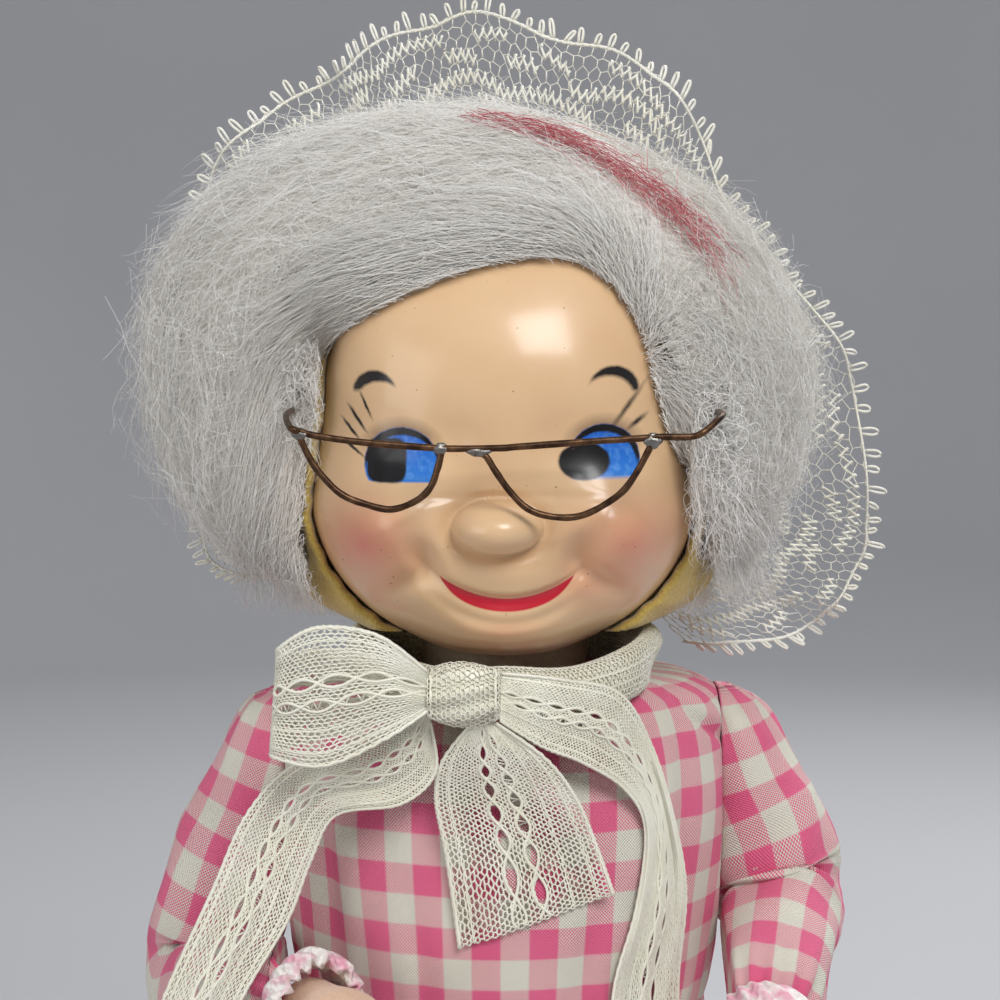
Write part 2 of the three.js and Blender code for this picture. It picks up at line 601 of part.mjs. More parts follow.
// Height of the wig's surface above a point of its plan, from the first level that lies outside it.
function wigTop(x, y) {
  for (let i = wigLevels.length - 1; i > 0; i--) {
    for (let part = 0; part < 1; part += 0.05) {
      const [height, wide, front, , lean] = wigLevels[i].map((v, k) => v + (wigLevels[i - 1][k] - v) * part);
      const spread = ((x - lean * wigHalfWidth) / (wide * wigHalfWidth + seat)) ** 2 + (y / (front * wigFront + seat)) ** 2;
      if (spread < 1) return faceZ + height * wigRise;
    }
  }
  return faceZ;
}
const streakPoints = [[-0.12, -0.4], [0.07, -0.45], [0.24, -0.49], [0.41, -0.55], [0.54, -0.58], [0.66, -0.57]]
  .map(([x, y]) => [x * wigHalfWidth, y * wigFront])
  .map(([x, y]) => new THREE.Vector3(x, y, wigTop(x, y)));
const streak = (radius) => wireAlong(streakPoints, radius, 6, 14);
add('wig', cut(wigForm(0), headForm, faceWindow, ...slits, streak(streakRadius + clothGap), socketHole), whiteHair, 0.7);
add('hair_ribbon', streak(streakRadius), '#c02a3c', 0.6);

// Bonnet: a net crown over the back of the wig and a lace ruffle that stands round the face.
const behindRuffle = block(
  [-2 * wigHalfWidth, ruffleSetBack + ruffleWave + ruffleThickness, faceZ - wigDrop],
  [2 * wigHalfWidth, 3 * wigBack, faceZ + 2 * wigRise]);
add('bonnet_crown', keepInside(cut(wigForm(clothGap + crownThickness), wigForm(clothGap)), behindRuffle), ivoryLace, 0.85);

const ruffleEdge = new THREE.SplineCurve([
  [-0.86, -0.44], [-0.98, -0.35], [-1.06, 0.07], [-1.06, 0.53], [-0.88, 0.88], [-0.57, 1.07], [-0.38, 1.2],
  [-0.1, 1.287], [0.2, 1.21], [0.5, 1.09], [0.67, 0.77], [0.86, 0.52], [1.05, 0.27], [1.13, -0.17], [1.07, -0.44],
  [0.86, -0.6], [0.56, -0.61],
].map(([x, z]) => new THREE.Vector2(x * wigHalfWidth, z * wigRise)));
const ruffleStations = ruffleEdge.getPoints(ruffleFolds * 5);
const ruffle = capped(ruffleStations.map((edge, i) => {
  const wave = ruffleWave * Math.cos((2 * Math.PI * ruffleFolds * i) / (ruffleStations.length - 1));
  const at = (share, y) => new THREE.Vector3(edge.x * share, ruffleSetBack + y, faceZ + edge.y * share);
  const half = ruffleThickness / 2;
  return [at(0.5, -half), at(0.85, wave * 0.7 - half), at(1, wave - half),
    at(1, wave + half), at(0.85, wave * 0.7 + half), at(0.5, half)];
}));
add('bonnet_ruffle', cut(ruffle, wigForm(clothGap), underHead), ivoryLace, 0.85);

// Spectacles: one bent wire across the brow with its ends in the wig, and a half-moon wire for each eye.
const barZ = faceZ + 3.2;
add('glasses_bar', wireAlong([
  [-templeSpread, -glassesReach + templeLength, templeZ], [-templeSpread, -glassesReach + templeBend, templeZ],
  [-templeSpread + 1.5, -glassesReach + 2, barZ + 4], [-templeSpread + 7, -glassesReach, barZ + 2.3],
  [-0.6 * maskHalfWidth, -glassesReach, barZ + 1], [-0.2 * maskHalfWidth, -glassesReach, barZ],
  [0.07 * maskHalfWidth, -glassesReach, barZ + 0.6], [0.6 * maskHalfWidth, -glassesReach, barZ + 1.6],
  [templeSpread - 7, -glassesReach, barZ + 2.4], [templeSpread - 1.5, -glassesReach + 2, barZ + 4],
  [templeSpread, -glassesReach + templeBend, templeZ], [templeSpread, -glassesReach + templeLength, templeZ],
].map((p) => new THREE.Vector3(...p)), glassesWire, 6, 34), bronzeWire, 0.45, 0.8);

function halfMoon(middleX, width, topLeft, topRight) {
  const count = 9;
  const points = Array.from({ length: count }, (_, i) => {
    const a = Math.PI * (1 + i / (count - 1));
    const top = topLeft + ((topRight - topLeft) * i) / (count - 1) - 2 * glassesWire - seat;
    return new THREE.Vector3(middleX + (width / 2) * Math.cos(a), -glassesReach, top + lensDrop * Math.sin(a));
  });
  return wireAlong(points, glassesWire, 6, 16);
}
add('left_lens_wire', halfMoon(11.9, leftLensWidth, barZ, barZ + 1.7), bronzeWire, 0.45, 0.8);
add('right_lens_wire', halfMoon(-25.5, rightLensWidth, barZ + 2, barZ + 0.3), bronzeWire, 0.45, 0.8);

export default doll;
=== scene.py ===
import math

import bmesh
import bpy
import numpy as np
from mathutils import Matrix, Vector


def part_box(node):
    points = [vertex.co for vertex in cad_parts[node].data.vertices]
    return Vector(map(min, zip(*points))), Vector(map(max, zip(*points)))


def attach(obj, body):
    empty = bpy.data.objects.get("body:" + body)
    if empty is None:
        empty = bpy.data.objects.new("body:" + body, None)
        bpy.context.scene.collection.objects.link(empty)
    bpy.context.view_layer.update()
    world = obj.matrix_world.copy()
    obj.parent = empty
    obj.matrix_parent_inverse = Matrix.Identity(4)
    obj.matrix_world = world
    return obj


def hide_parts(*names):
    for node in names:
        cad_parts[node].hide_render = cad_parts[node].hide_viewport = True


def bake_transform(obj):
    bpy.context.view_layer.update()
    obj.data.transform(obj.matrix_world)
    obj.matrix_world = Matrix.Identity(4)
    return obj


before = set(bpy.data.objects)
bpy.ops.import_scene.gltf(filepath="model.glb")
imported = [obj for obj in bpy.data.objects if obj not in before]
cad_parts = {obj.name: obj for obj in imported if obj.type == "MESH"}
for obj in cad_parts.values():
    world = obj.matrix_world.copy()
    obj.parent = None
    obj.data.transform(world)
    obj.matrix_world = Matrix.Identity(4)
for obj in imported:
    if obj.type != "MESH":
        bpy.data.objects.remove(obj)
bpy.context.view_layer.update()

chance = np.random.default_rng(11)


# Card core: the tube that takes the bottle, the cone on its shoulder, the neck tube and the cap in the head.
# Grey-brown board, rolled, cut and glued. These pieces keep the shape they were built with.

def screen(red, green, blue):
    """A colour written as it looks on a screen, 0 to 255, as the linear values that a shader takes."""
    share = np.array([red, green, blue]) / 255
    linear = np.where(share <= 0.04045, share / 12.92, ((share + 0.055) / 1.055) ** 2.4)
    return (*linear.tolist(), 1.0)


def new_finish(name, roughness, **sockets):
    """A material with one shader; values that are the same all over sit on the shader's own sockets."""
    made = bpy.data.materials.new(name)
    made.use_nodes = True
    shader = made.node_tree.nodes["Principled BSDF"]
    shader.inputs["Roughness"].default_value = roughness
    for socket, value in sockets.items():
        shader.inputs[socket.replace("_", " ")].default_value = value
    return made, made.node_tree, shader


def put(tree, kind, inputs=None, **settings):
    """Adds a node; each input is a plain value or another node's output."""
    made = tree.nodes.new("ShaderNode" + kind)
    for key, value in settings.items():
        setattr(made, key, value)
    for key, value in (inputs or {}).items():
        if isinstance(value, bpy.types.NodeSocket):
            tree.links.new(value, made.inputs[key])
        else:
            made.inputs[key].default_value = value
    return made


def calc(tree, work, first, second=0.0):
    """One sum on two numbers."""
    return put(tree, "Math", {0: first, 1: second}, operation=work).outputs[0]


def between(tree, value, low, high):
    """0 where the value is at low and 1 where it is at high, straight between and held outside."""
    return put(tree, "MapRange", {0: value, 1: low, 2: high}, clamp=True).outputs[0]


def mix(tree, share, first, second):
    """The first colour where the share is 0, the second where it is 1."""
    return put(tree, "Mix", {0: share, 6: first, 7: second}, data_type="RGBA").outputs[2]


def noise(tree, scale, detail=2.0):
    """Cloudy noise, 0 to 1, with about scale clouds to the metre."""
    place = put(tree, "TexCoord").outputs["Object"]
    return put(tree, "TexNoise", {"Vector": place, "Scale": scale, "Detail": detail}).outputs[0]


def paint(tree, shader, colour, height=None, depth=0.0001):
    """Joins a colour to the shader and raises its surface by a height of 0 to 1 times the depth."""
    tree.links.new(colour, shader.inputs["Base Color"])
    if height is not None:
        made = put(tree, "Bump", {"Height": height, "Distance": depth})
        tree.links.new(made.outputs[0], shader.inputs["Normal"])


def two_tone(name, roughness, scale, detail, dark, light, depth=None, span=(0.0, 1.0), **sockets):
    """A finish that goes from a dark tone to a light one with cloudy noise, between the span's two values,
    and is raised by the noise if a depth is given."""
    made, tree, shader = new_finish(name, roughness, **sockets)
    cloud = noise(tree, scale, detail)
    share = cloud if span == (0.0, 1.0) else between(tree, cloud, *span)
    paint(tree, shader, mix(tree, share, screen(*dark), screen(*light)), cloud if depth else None, depth)
    return made


def wear(finish, *nodes):
    """Gives a finish to pieces that keep the shape they were built with."""
    for node in nodes:
        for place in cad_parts[node].material_slots:
            place.material = finish


board = two_tone("grey_board", 0.92, 900.0, 4.0, (160, 142, 114), (202, 186, 158), 0.0003)
wear(board, "bottle_sleeve", "shoulder_cone", "neck_tube", "head_socket",
     "left_shoulder_bush", "right_shoulder_bush")


# Skirt: a straight length of pink and white gingham, gathered into the waistband so that it falls in folds.
# Yarn-dyed cotton in quarter-inch checks, hemmed; it hangs free of the card tube.

CHECK = 6.35
FULL_TURN = 2 * math.pi


def node_box(node):
    """Lowest and highest corner of a built piece, in millimetres."""
    return [np.array(corner) * 1000 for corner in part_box(node)]


def gingham(name):
    """Plain weave: each thread is pink or white by its stripe, and every second thread is on top.
    The cloth's own map counts checks, so a stripe is every second unit, and 18 threads make a check."""
    made, tree, shader = new_finish(name, 0.86, Sheen_Weight=0.12, Specular_IOR_Level=0.25)
    place = put(tree, "SeparateXYZ", {0: put(tree, "UVMap", uv_map="cut").outputs[0]})
    dyed, lift = [], []
    for axis in (0, 1):
        band = calc(tree, "PINGPONG", place.outputs[axis], 1.0)
        dyed.append(between(tree, band, 0.53, 0.47))
        lift.append(calc(tree, "SINE", calc(tree, "MULTIPLY", place.outputs[axis], 18 * math.pi)))
    weave = calc(tree, "MULTIPLY", *lift)
    faded = noise(tree, 55.0, 3.0)
    pink = mix(tree, faded, screen(225, 87, 129), screen(240, 119, 155))
    white = mix(tree, faded, screen(216, 212, 194), screen(234, 230, 216))
    threads = [mix(tree, share, white, pink) for share in dyed]
    top = between(tree, weave, -0.3, 0.3)
    paint(tree, shader, mix(tree, top, *threads), weave, 0.00012)
    return made


def new_piece(name, points, faces, finish, cut=None):
    """One object from points in millimetres and lists of faces, with a cloth map for each corner if given."""
    mesh = bpy.data.meshes.new(name)
    mesh.vertices.add(len(points))
    mesh.vertices.foreach_set("co", (np.asarray(points) / 1000).astype(np.float32).ravel())
    corners = np.concatenate([group.ravel() for group in faces]).astype(np.int32)
    sizes = np.concatenate([np.full(len(group), group.shape[1]) for group in faces])
    mesh.loops.add(len(corners))
    mesh.loops.foreach_set("vertex_index", corners)
    mesh.polygons.add(len(sizes))
    mesh.polygons.foreach_set("loop_start", (np.cumsum(sizes) - sizes).astype(np.int32))
    mesh.update(calc_edges=True)
    if cut is not None:
        mesh.uv_layers.new(name="cut").uv.foreach_set("vector", cut.astype(np.float32).ravel())
    mesh.validate()
    mesh.shade_smooth()
    mesh.materials.append(finish)
    piece = bpy.data.objects.new(name, mesh)
    bpy.context.scene.collection.objects.link(piece)
    return piece


def grid(rows, columns, closed=True):
    """Row and column numbers of the four corners of each face on a grid of points whose last column meets its
    first; closed, its last row meets its first too."""
    i, j = np.meshgrid(np.arange(rows if closed else rows - 1), np.arange(columns), indexing="ij")
    return np.stack([i, i, i + 1, i + 1], -1), np.stack([j, j + 1, j + 1, j], -1)


def grid_faces(rows, columns, closed=True):
    """The faces of such a grid, as numbers of its points."""
    down, right = grid(rows, columns, closed)
    return (down % rows * columns + right % columns).reshape(-1, 4)


def merge(mesh, within):
    """Joins points that lie at one place."""
    shape = bmesh.new()
    shape.from_mesh(mesh)
    bmesh.ops.remove_doubles(shape, verts=shape.verts, dist=within)
    shape.to_mesh(mesh)
    shape.free()


def skin(name, rings, finish, cut=None, ends=False):
    """A closed skin over rings of points: with ends, the first and last ring lie at one point each,
    and without, the last ring meets the first. The cloth map has one more column than the rings."""
    rows, columns = rings.shape[:2]
    quads = grid_faces(rows, columns, not ends)
    if cut is not None:
        cut = cut[grid(rows, columns, not ends)].reshape(-1, 4, 2)
    points = rings.reshape(-1, 3)
    a, b, c, d = (points[quads[:, k]] for k in range(4))
    if (a * np.cross(b, c)).sum() + (a * np.cross(c, d)).sum() < 0:
        quads = quads[:, ::-1]
        cut = None if cut is None else cut[:, ::-1]
    piece = new_piece(name, points, [quads], finish, cut)
    if ends:
        merge(piece.data, 1e-7)
    return piece


def fit(piece, body, slot, *nodes):
    """Lets a piece move with its body and puts it in the place of built pieces; the slot, its finish's name,
    is not used.
    """
    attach(piece, body)
    if nodes:
        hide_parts(*nodes)
    return piece


def turns(count):
    """Angles round a full turn."""
    return np.arange(count) / count * FULL_TURN


def spun(radius, turn, height):
    """Points at a radius and a height round the upright axis."""
    return np.stack(np.broadcast_arrays(radius * np.cos(turn), radius * np.sin(turn), height), -1)


def unit(vectors):
    """The same directions with a length of 1."""
    return vectors / np.linalg.norm(vectors, axis=-1, keepdims=True)


skirt_low, skirt_high = node_box("skirt")
core_radius = node_box("bottle_sleeve")[1][0]
waist_radius = core_radius + 3.5
skirt_fall = skirt_high[2] - skirt_low[2]
skirt_checks = 96
skirt_rows, skirt_columns, skirt_folds = 46, 400, 16
hem_thick = 0.8


def skirt_rings(inset):
    """Sixteen folds: the radius runs from waist to hem with the height's share to the power 0.85, less a
    cosine of sixteen turns that deepens downwards. Fine gathers die out below the waist."""
    share = np.linspace(0, 1, skirt_rows)[:, None]
    turn = turns(skirt_columns)
    reach = waist_radius + (skirt_high[0] - waist_radius) * share ** 0.85 - inset
    depth = 4.5 * (0.12 + 0.88 * share) * (1 + 0.22 * np.sin(2 * turn + 0.7))
    folds = 1 - np.cos(skirt_folds * turn + share * (0.5 * np.sin(3 * turn + 1) + 0.4 * np.sin(5 * turn)))
    gathers = 0.9 * np.exp(-7 * share) * np.cos(48 * turn)
    radius = reach - depth * folds + gathers
    return spun(radius, turn, skirt_high[2] - share * skirt_fall)


def cloth_map(columns_at, rows_at):
    """The cloth's own map from where the columns and rows of a skin lie on it, counted in checks."""
    return np.stack(np.broadcast_arrays(columns_at[None, :], rows_at[:, None]), -1)


skirt_shape = np.concatenate([skirt_rings(0.0), skirt_rings(hem_thick)[::-1]])
slant = math.hypot(skirt_fall, skirt_high[0] - waist_radius)
down_cloth = np.linspace(0, slant / CHECK, skirt_rows)
down_and_up = np.concatenate([down_cloth, down_cloth[::-1], [0]])
skirt = skin("skirt_cloth", skirt_shape, gingham("skirt_gingham"),
             cloth_map(np.linspace(0, skirt_checks, skirt_columns + 1), down_and_up))
fit(skirt, "body", "gingham_cloth", "skirt")


# Waistband: a strip of the same gingham, folded double and sewn round the waist over the skirt's gathers.
# The picture ends above it, so its width and its flat seam are guessed.

band_low, band_high = node_box("waistband")
band_checks, band_rows, band_columns = 44, 30, 220


def waistband_rings():
    """A rounded oblong section, its half width and half height to the power 0.45 of sine and cosine, spun."""
    around = turns(band_rows)[:, None]
    turn = turns(band_columns)
    soften = lambda wave: np.sign(wave) * np.abs(wave) ** 0.45
    inner = core_radius + 0.5
    half = (band_high[0] + 0.4 - inner) / 2
    pucker = 0.25 * np.cos(band_checks * turn) * np.abs(np.sin(around))
    radius = inner + half + half * soften(np.cos(around)) + pucker
    middle = (band_low[2] + band_high[2]) / 2
    return spun(radius, turn, middle + (band_high[2] - band_low[2]) / 2 * soften(np.sin(around)))


waistband = skin("waistband_cloth", waistband_rings(), gingham("waistband_gingham"),
                 cloth_map(np.linspace(0, band_checks, band_columns + 1), np.linspace(0, 4, band_rows + 1)))
fit(waistband, "body", "gingham_cloth", "waistband")


# Bodice: gingham stretched over wadding on the card, puffed at the chest, sloping at the shoulders.
# It is drawn in at the waist and under the neck lace, and creased where the arms lie against it.

bodice_base = node_box("bodice_midriff")[0][2]
bodice_top = node_box("bodice")[1][2]
armhole = node_box("bodice")[1][0]
bodice_rows, bodice_columns, bodice_checks = 84, 240, 52
front_column = 180


def curve(points, shares):
    """The smooth curve through the points (Catmull-Rom), at shares of the way along it."""
    points = np.asarray(points, float)
    at = np.clip(shares, 0, 1) * (len(points) - 1)
    i = np.minimum(at.astype(int), len(points) - 2)
    t = (at - i)[..., None]
    before, here, after, beyond = (points[np.clip(i + k, 0, len(points) - 1)] for k in (-1, 0, 1, 2))
    start, stop = (after - before) / 2, (beyond - here) / 2
    return ((2 * here - 2 * after + start + stop) * t ** 3
            + (3 * after - 3 * here - 2 * start - stop) * t ** 2 + start * t + here)


def bump_at(value, middle, width):
    """A smooth bump of 1 at the middle that fades over the width (Gauss)."""
    return np.exp(-((value - middle) / width) ** 2)


# Height, half width and half depth of the bodice from the waist up to the neck.
bodice_profile = [
    (bodice_base, 44.4, 44.4), (bodice_base + 6, 46.4, 46.0), (bodice_base + 18, 48.4, 46.6),
    (bodice_base + 34, 50.2, 46.8), (bodice_base + 48, 51.6, 46.0), (bodice_base + 58, 51.2, 42.6),
    (bodice_base + 64.5, 50.0, 38.4), (bodice_base + 69.5, 47.6, 33.6), (bodice_top - 1.6, 43.4, 30.0),
    (bodice_top - 0.2, 38.5, 27.0), (bodice_top + 0.6, 31.0, 24.0), (bodice_top, 23.0, 22.0),
]


def bodice_rings():
    """Ovals from the profile, with soft creases beside the arms and gathers at waist and neck."""
    shares = np.linspace(0, 1, bodice_rows)
    height, wide, deep = (column[:, None] for column in curve(bodice_profile, shares).T)
    turn = turns(bodice_columns)
    up = (height - bodice_base) / (bodice_top - bodice_base)
    front = turn - 1.5 * math.pi
    swell = np.zeros_like(up + turn)
    for side in (-1, 1):
        swell += -1.6 * bump_at(front, side * 0.83, 0.07) * bump_at(up, 0.62, 0.32)
        swell += 1.0 * bump_at(front, side * 0.68, 0.12) * bump_at(up, 0.6, 0.34)
        swell += -0.9 * bump_at(front, side * 0.42 + 0.25 * side * (up - 0.5), 0.06) * bump_at(up, 0.3, 0.2)
        crease = side * wide * np.cos(turn) - np.interp(height, [222, 227, 233, 241], [52, 48.5, 41.5, 33.5])
        high = bump_at(height, 232, 9) * (np.sin(turn) < 0)
        swell += (-2.0 * bump_at(crease, 0, 1.3) + 1.3 * bump_at(crease, 3.6, 2.6)) * high
    swell += 0.7 * np.exp(-9 * up) * np.cos(44 * turn) + 0.6 * np.exp(-16 * (1 - up)) * np.cos(40 * turn)
    swell += 0.5 * np.sin(7 * turn + 9 * up) * up * (1 - up) * 2
    across = np.clip((wide + swell) * np.cos(turn), -armhole, armhole)
    outer = np.stack([across, (deep + swell) * np.sin(turn), height + 0 * turn], -1)
    cone = core_radius + 0.5
    neck = node_box("neck_tube")[1][0] + 0.5
    inside = [(bodice_top, neck), (node_box("shoulder_cone")[1][2], neck),
              (node_box("shoulder_cone")[0][2], cone), (bodice_base, cone)]
    return np.concatenate([outer, np.stack([spun(radius, turn, high) for high, radius in inside])])


bodice_shape = bodice_rings()
front_line = bodice_shape[:bodice_rows, front_column]
rise = np.linalg.norm(np.diff(front_line, axis=0), axis=1)
up_cloth = np.concatenate([[0], np.cumsum(rise)]) / CHECK
# A row of checks starts at this height on the chest, and a column starts this part of a check off the middle.
chest_row = np.interp(204.0, front_line[:, 2], up_cloth)
off_middle = 0.62
up_cloth = np.concatenate([up_cloth, np.full(5, up_cloth[-1])]) - chest_row
round_cloth = np.linspace(0, bodice_checks, bodice_columns + 1) - bodice_checks * 3 / 4 + off_middle
bodice = skin("bodice_cloth", bodice_shape, gingham("bodice_gingham"), cloth_map(round_cloth, up_cloth))
fit(bodice, "body", "gingham_cloth", "bodice", "bodice_midriff")


# Arms: gingham sleeves stuffed round a soft wire, bent at the elbow, gathered into a trimmed cuff.
# Each swings on its wire at the shoulder, so its inner end is flat against the bodice.

wire_steel = two_tone("soft_steel", 0.42, 700.0, 3.0, (120, 118, 114), (168, 166, 162), Metallic=1.0)
wear(wire_steel, "left_arm_wire", "right_arm_wire")
shoulder_height = 224.0
shoulder_plane = armhole + 0.3
sleeve_wide = 15.0
wrist_wide = 9.5
sleeve_columns, sleeve_checks = 96, 14


def frames_along(path):
    """Two unit vectors square to a path at each point, the first as near the X axis as it can be."""
    along = unit(np.gradient(path, axis=0))
    side = unit(np.array([1.0, 0, 0]) - along[:, :1] * along)
    return side, np.cross(along, side)


def sleeve_rings(side, elbow, wrist):
    """Rings along a bent path: full at the shoulder, creased across the inside of the elbow by ridges that
    fade round the arm, pointed at the elbow and gathered at the wrist."""
    shoulder = np.array([side * shoulder_plane, 0, shoulder_height])
    corner = elbow + (elbow - (shoulder + wrist) / 2) * 0.06
    walk = np.linspace(0, 1, 150)[:, None]
    aside = np.array([1.5 * side, 0, 0])
    path = curve([shoulder + [0.3 * side, 0, 12.6], shoulder + [0.9 * side, 0, 6],
                  shoulder * 0.72 + elbow * 0.28 + aside, shoulder * 0.4 + elbow * 0.6 + aside,
                  shoulder * 0.14 + corner * 0.86, corner * 0.86 + wrist * 0.14, elbow * 0.5 + wrist * 0.5,
                  wrist],
                 walk[:, 0])
    right, over = frames_along(path)
    turn = turns(sleeve_columns)
    ring = right[:, None] * np.cos(turn)[:, None] + over[:, None] * np.sin(turn)[:, None]
    facing = ring @ unit((shoulder + wrist) / 2 - elbow)
    widths = [(0, 2.2), (0.02, 4.2), (0.05, 6.0), (0.09, 7.8), (0.143, 9.6), (0.2, 11.7), (0.286, 13.9),
              (0.36, sleeve_wide), (0.57, 14.6), (0.643, 13.6), (0.714, 13.4), (0.86, 12.4), (0.957, 11.0),
              (1, wrist_wide)]
    radius = np.interp(walk, *zip(*widths))
    radius = radius * (1 + 0.3 * np.abs(np.sin(turn)) * bump_at(walk, 0, 0.22))
    inside, outside = np.clip(facing, 0, 1), np.clip(-facing, 0, 1)
    creases = sum(deep * bump_at(walk + 0.02 * np.sin(2 * turn + k), at, 0.016)
                  for k, (at, deep) in enumerate([(0.545, 1.2), (0.575, -1.5), (0.61, 1.9), (0.645, -2.4),
                                                  (0.685, 2.0), (0.717, -1.6), (0.75, 1.0)]))
    fold = (inside ** 0.7 + 0.12) * (1 if side > 0 else 0.6)
    radius = radius + creases * fold + 1.6 * bump_at(walk, 0.643, 0.03) * outside ** 3
    radius += 0.8 * np.exp(-((1 - walk) / 0.05)) * np.cos(16 * turn)
    radius += 0.35 * bump_at(walk, 0.16, 0.06) * np.cos(13 * turn)
    radius += 0.45 * np.sin(3 * turn + 14 * walk) + 0.3 * np.sin(5 * turn - 23 * walk)
    rings = path[:, None] + ring * radius[..., None]
    rings[..., 0] = side * np.maximum(side * rings[..., 0], shoulder_plane)
    first, last = rings[:1] * 0 + rings[0].mean(0), rings[:1] * 0 + path[-1]
    walked = np.concatenate([[0], np.cumsum(np.linalg.norm(np.diff(path, axis=0), axis=1))]) / CHECK
    return np.concatenate([first, rings, last]), np.concatenate([[0], walked, walked[-1:]])


def soft_copy(name, node, voxel, rounds, push, finish):
    """A smooth skin over a built piece: even cells over its merged copy, eased, then pushed out or in."""
    piece = bpy.data.objects.new(name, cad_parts[node].data.copy())
    bpy.context.scene.collection.objects.link(piece)
    merge(piece.data, 1e-6)
    cells = piece.modifiers.new("cells", "REMESH")
    cells.mode, cells.voxel_size = "VOXEL", voxel / 1000
    ease = piece.modifiers.new("ease", "SMOOTH")
    ease.factor, ease.iterations = 0.5, rounds
    swell = piece.modifiers.new("swell", "DISPLACE")
    swell.mid_level, swell.strength = 0.0, push / 1000
    mesh = bpy.data.meshes.new_from_object(piece.evaluated_get(bpy.context.evaluated_depsgraph_get()))
    piece.modifiers.clear()
    piece.data = mesh
    mesh.shade_smooth()
    mesh.materials.clear()
    mesh.materials.append(finish)
    return piece


trim, tree, shader = new_finish("cuff_trim", 0.38, Sheen_Weight=0.3)
on_trim = put(tree, "TexCoord").outputs["Object"]
bubbles = put(tree, "TexVoronoi", {"Vector": on_trim, "Scale": 620.0}).outputs[0]
tint = between(tree, noise(tree, 240.0, 2.0), 0.42, 0.62)
paint(tree, shader, mix(tree, tint, screen(238, 232, 226), screen(232, 168, 186)), bubbles, 0.0006)
felt = two_tone("peach_felt", 0.95, 1500.0, 4.0, (212, 172, 140), (236, 200, 168), 0.0003, Sheen_Weight=0.4)


def cuff_rings(side, wrist, reach):
    """A strip gathered to the wrist and flaring over the hand: pleats are a cosine of seventeen turns that
    deepens to the free edge, and the rings go down the outside and back up inside. It is flatter towards the
    body, where the arm swings past."""
    right = unit(np.cross([0.0, 0, 1], reach))
    over = np.cross(reach, right)
    turn = turns(168)
    spoke = right * np.cos(turn)[:, None] + over * np.sin(turn)[:, None]
    flat = 1 - 0.28 * np.clip(spoke @ np.array([-0.5 * side, 0.87, 0]), 0, 1)
    share = np.linspace(0, 1, 16)
    outer = [(0.3 + 8.8 * s, wrist_wide + 0.4 + 1.7 * s + 1.4 * math.sin(math.pi * s), 0.3 + 0.8 * s)
             for s in share]
    inner = [(along, radius - 1.8, pleat) for along, radius, pleat in outer[::-1]]
    wave = 17 * turn + 2 * np.sin(3 * turn)
    rows = [wrist + reach * along + spoke * (radius * flat + pleat * np.cos(wave + along))[:, None]
            for along, radius, pleat in outer + inner]
    return np.stack(rows)


for side, name, elbow, wrist in [(1, "left", (15, -4, -34), (7, -40, -50)),
                                 (-1, "right", (20, -3, -52), (-7, -44, -46))]:
    body = name + "_arm"
    elbow, wrist = (np.array([side * (shoulder_plane + out), ahead, shoulder_height + up])
                    for out, ahead, up in (elbow, wrist))
    rings, walked = sleeve_rings(side, elbow, wrist)
    sleeve = skin(name + "_sleeve_cloth", rings, gingham(name + "_sleeve_gingham"),
                  cloth_map(np.linspace(0, sleeve_checks, sleeve_columns + 1), walked), ends=True)
    fit(sleeve, body, "gingham_cloth", name + "_sleeve")
    cuff = skin(name + "_cuff_trim", cuff_rings(side, wrist, unit(wrist - elbow)), trim)
    fit(cuff, body, "ivory_lace", name + "_cuff")
    hand = soft_copy(name + "_mitten", name + "_hand", voxel=0.8, rounds=12, push=0.25, finish=felt)
    fit(hand, body, "hand_felt", name + "_hand")


# Neck lace: a strip of the bow's lace, folded double and wrapped round the neck over the bodice's top edge.
# Knitted ivory lace of shiny thread, its folds drawn together in front under the knot.

lace_thread = two_tone("ivory_thread", 0.36, 120.0, 3.0, (226, 221, 196), (248, 247, 234),
                       Sheen_Weight=0.35, Specular_IOR_Level=0.6)


def threads(paths, radius, sides=3):
    """Threads of the same number of points each: a ring round every point, square to the thread, both ends
    shut. Radius is one number or one for every point. Returns points and faces."""
    count, steps = paths.shape[:2]
    along = np.gradient(paths, axis=1)
    along /= np.maximum(np.linalg.norm(along, axis=2, keepdims=True), 1e-9)
    right = np.cross(along, [0.31, 0.52, 0.79])
    right /= np.maximum(np.linalg.norm(right, axis=2, keepdims=True), 1e-9)
    over = np.cross(along, right)
    turn = turns(sides)
    ring = right[:, :, None] * np.cos(turn)[:, None] + over[:, :, None] * np.sin(turn)[:, None]
    points = paths[:, :, None] + ring * np.broadcast_to(radius, (count, steps))[..., None, None]
    first = (np.arange(count)[:, None, None] * steps + np.arange(steps - 1)[:, None]) * sides
    here, beside = np.arange(sides), (np.arange(sides) + 1) % sides
    walls = np.stack([first + here, first + beside, first + sides + beside, first + sides + here], -1)
    start = np.arange(count)[:, None] * steps * sides
    lids = np.concatenate([start + here[::-1], start + (steps - 1) * sides + here])
    return points.reshape(-1, 3), [walls.reshape(-1, 4), lids]


def join(*parts):
    """Several sets of points and faces as one."""
    points, quads, rest, before = [], [], [], 0
    for some, faces in parts:
        points.append(some)
        for group in faces:
            (quads if group.shape[1] == 4 else rest).append(group + before)
        before += len(some)
    groups = [np.concatenate(kind) for kind in (quads, rest) if kind]
    return np.concatenate(points), groups


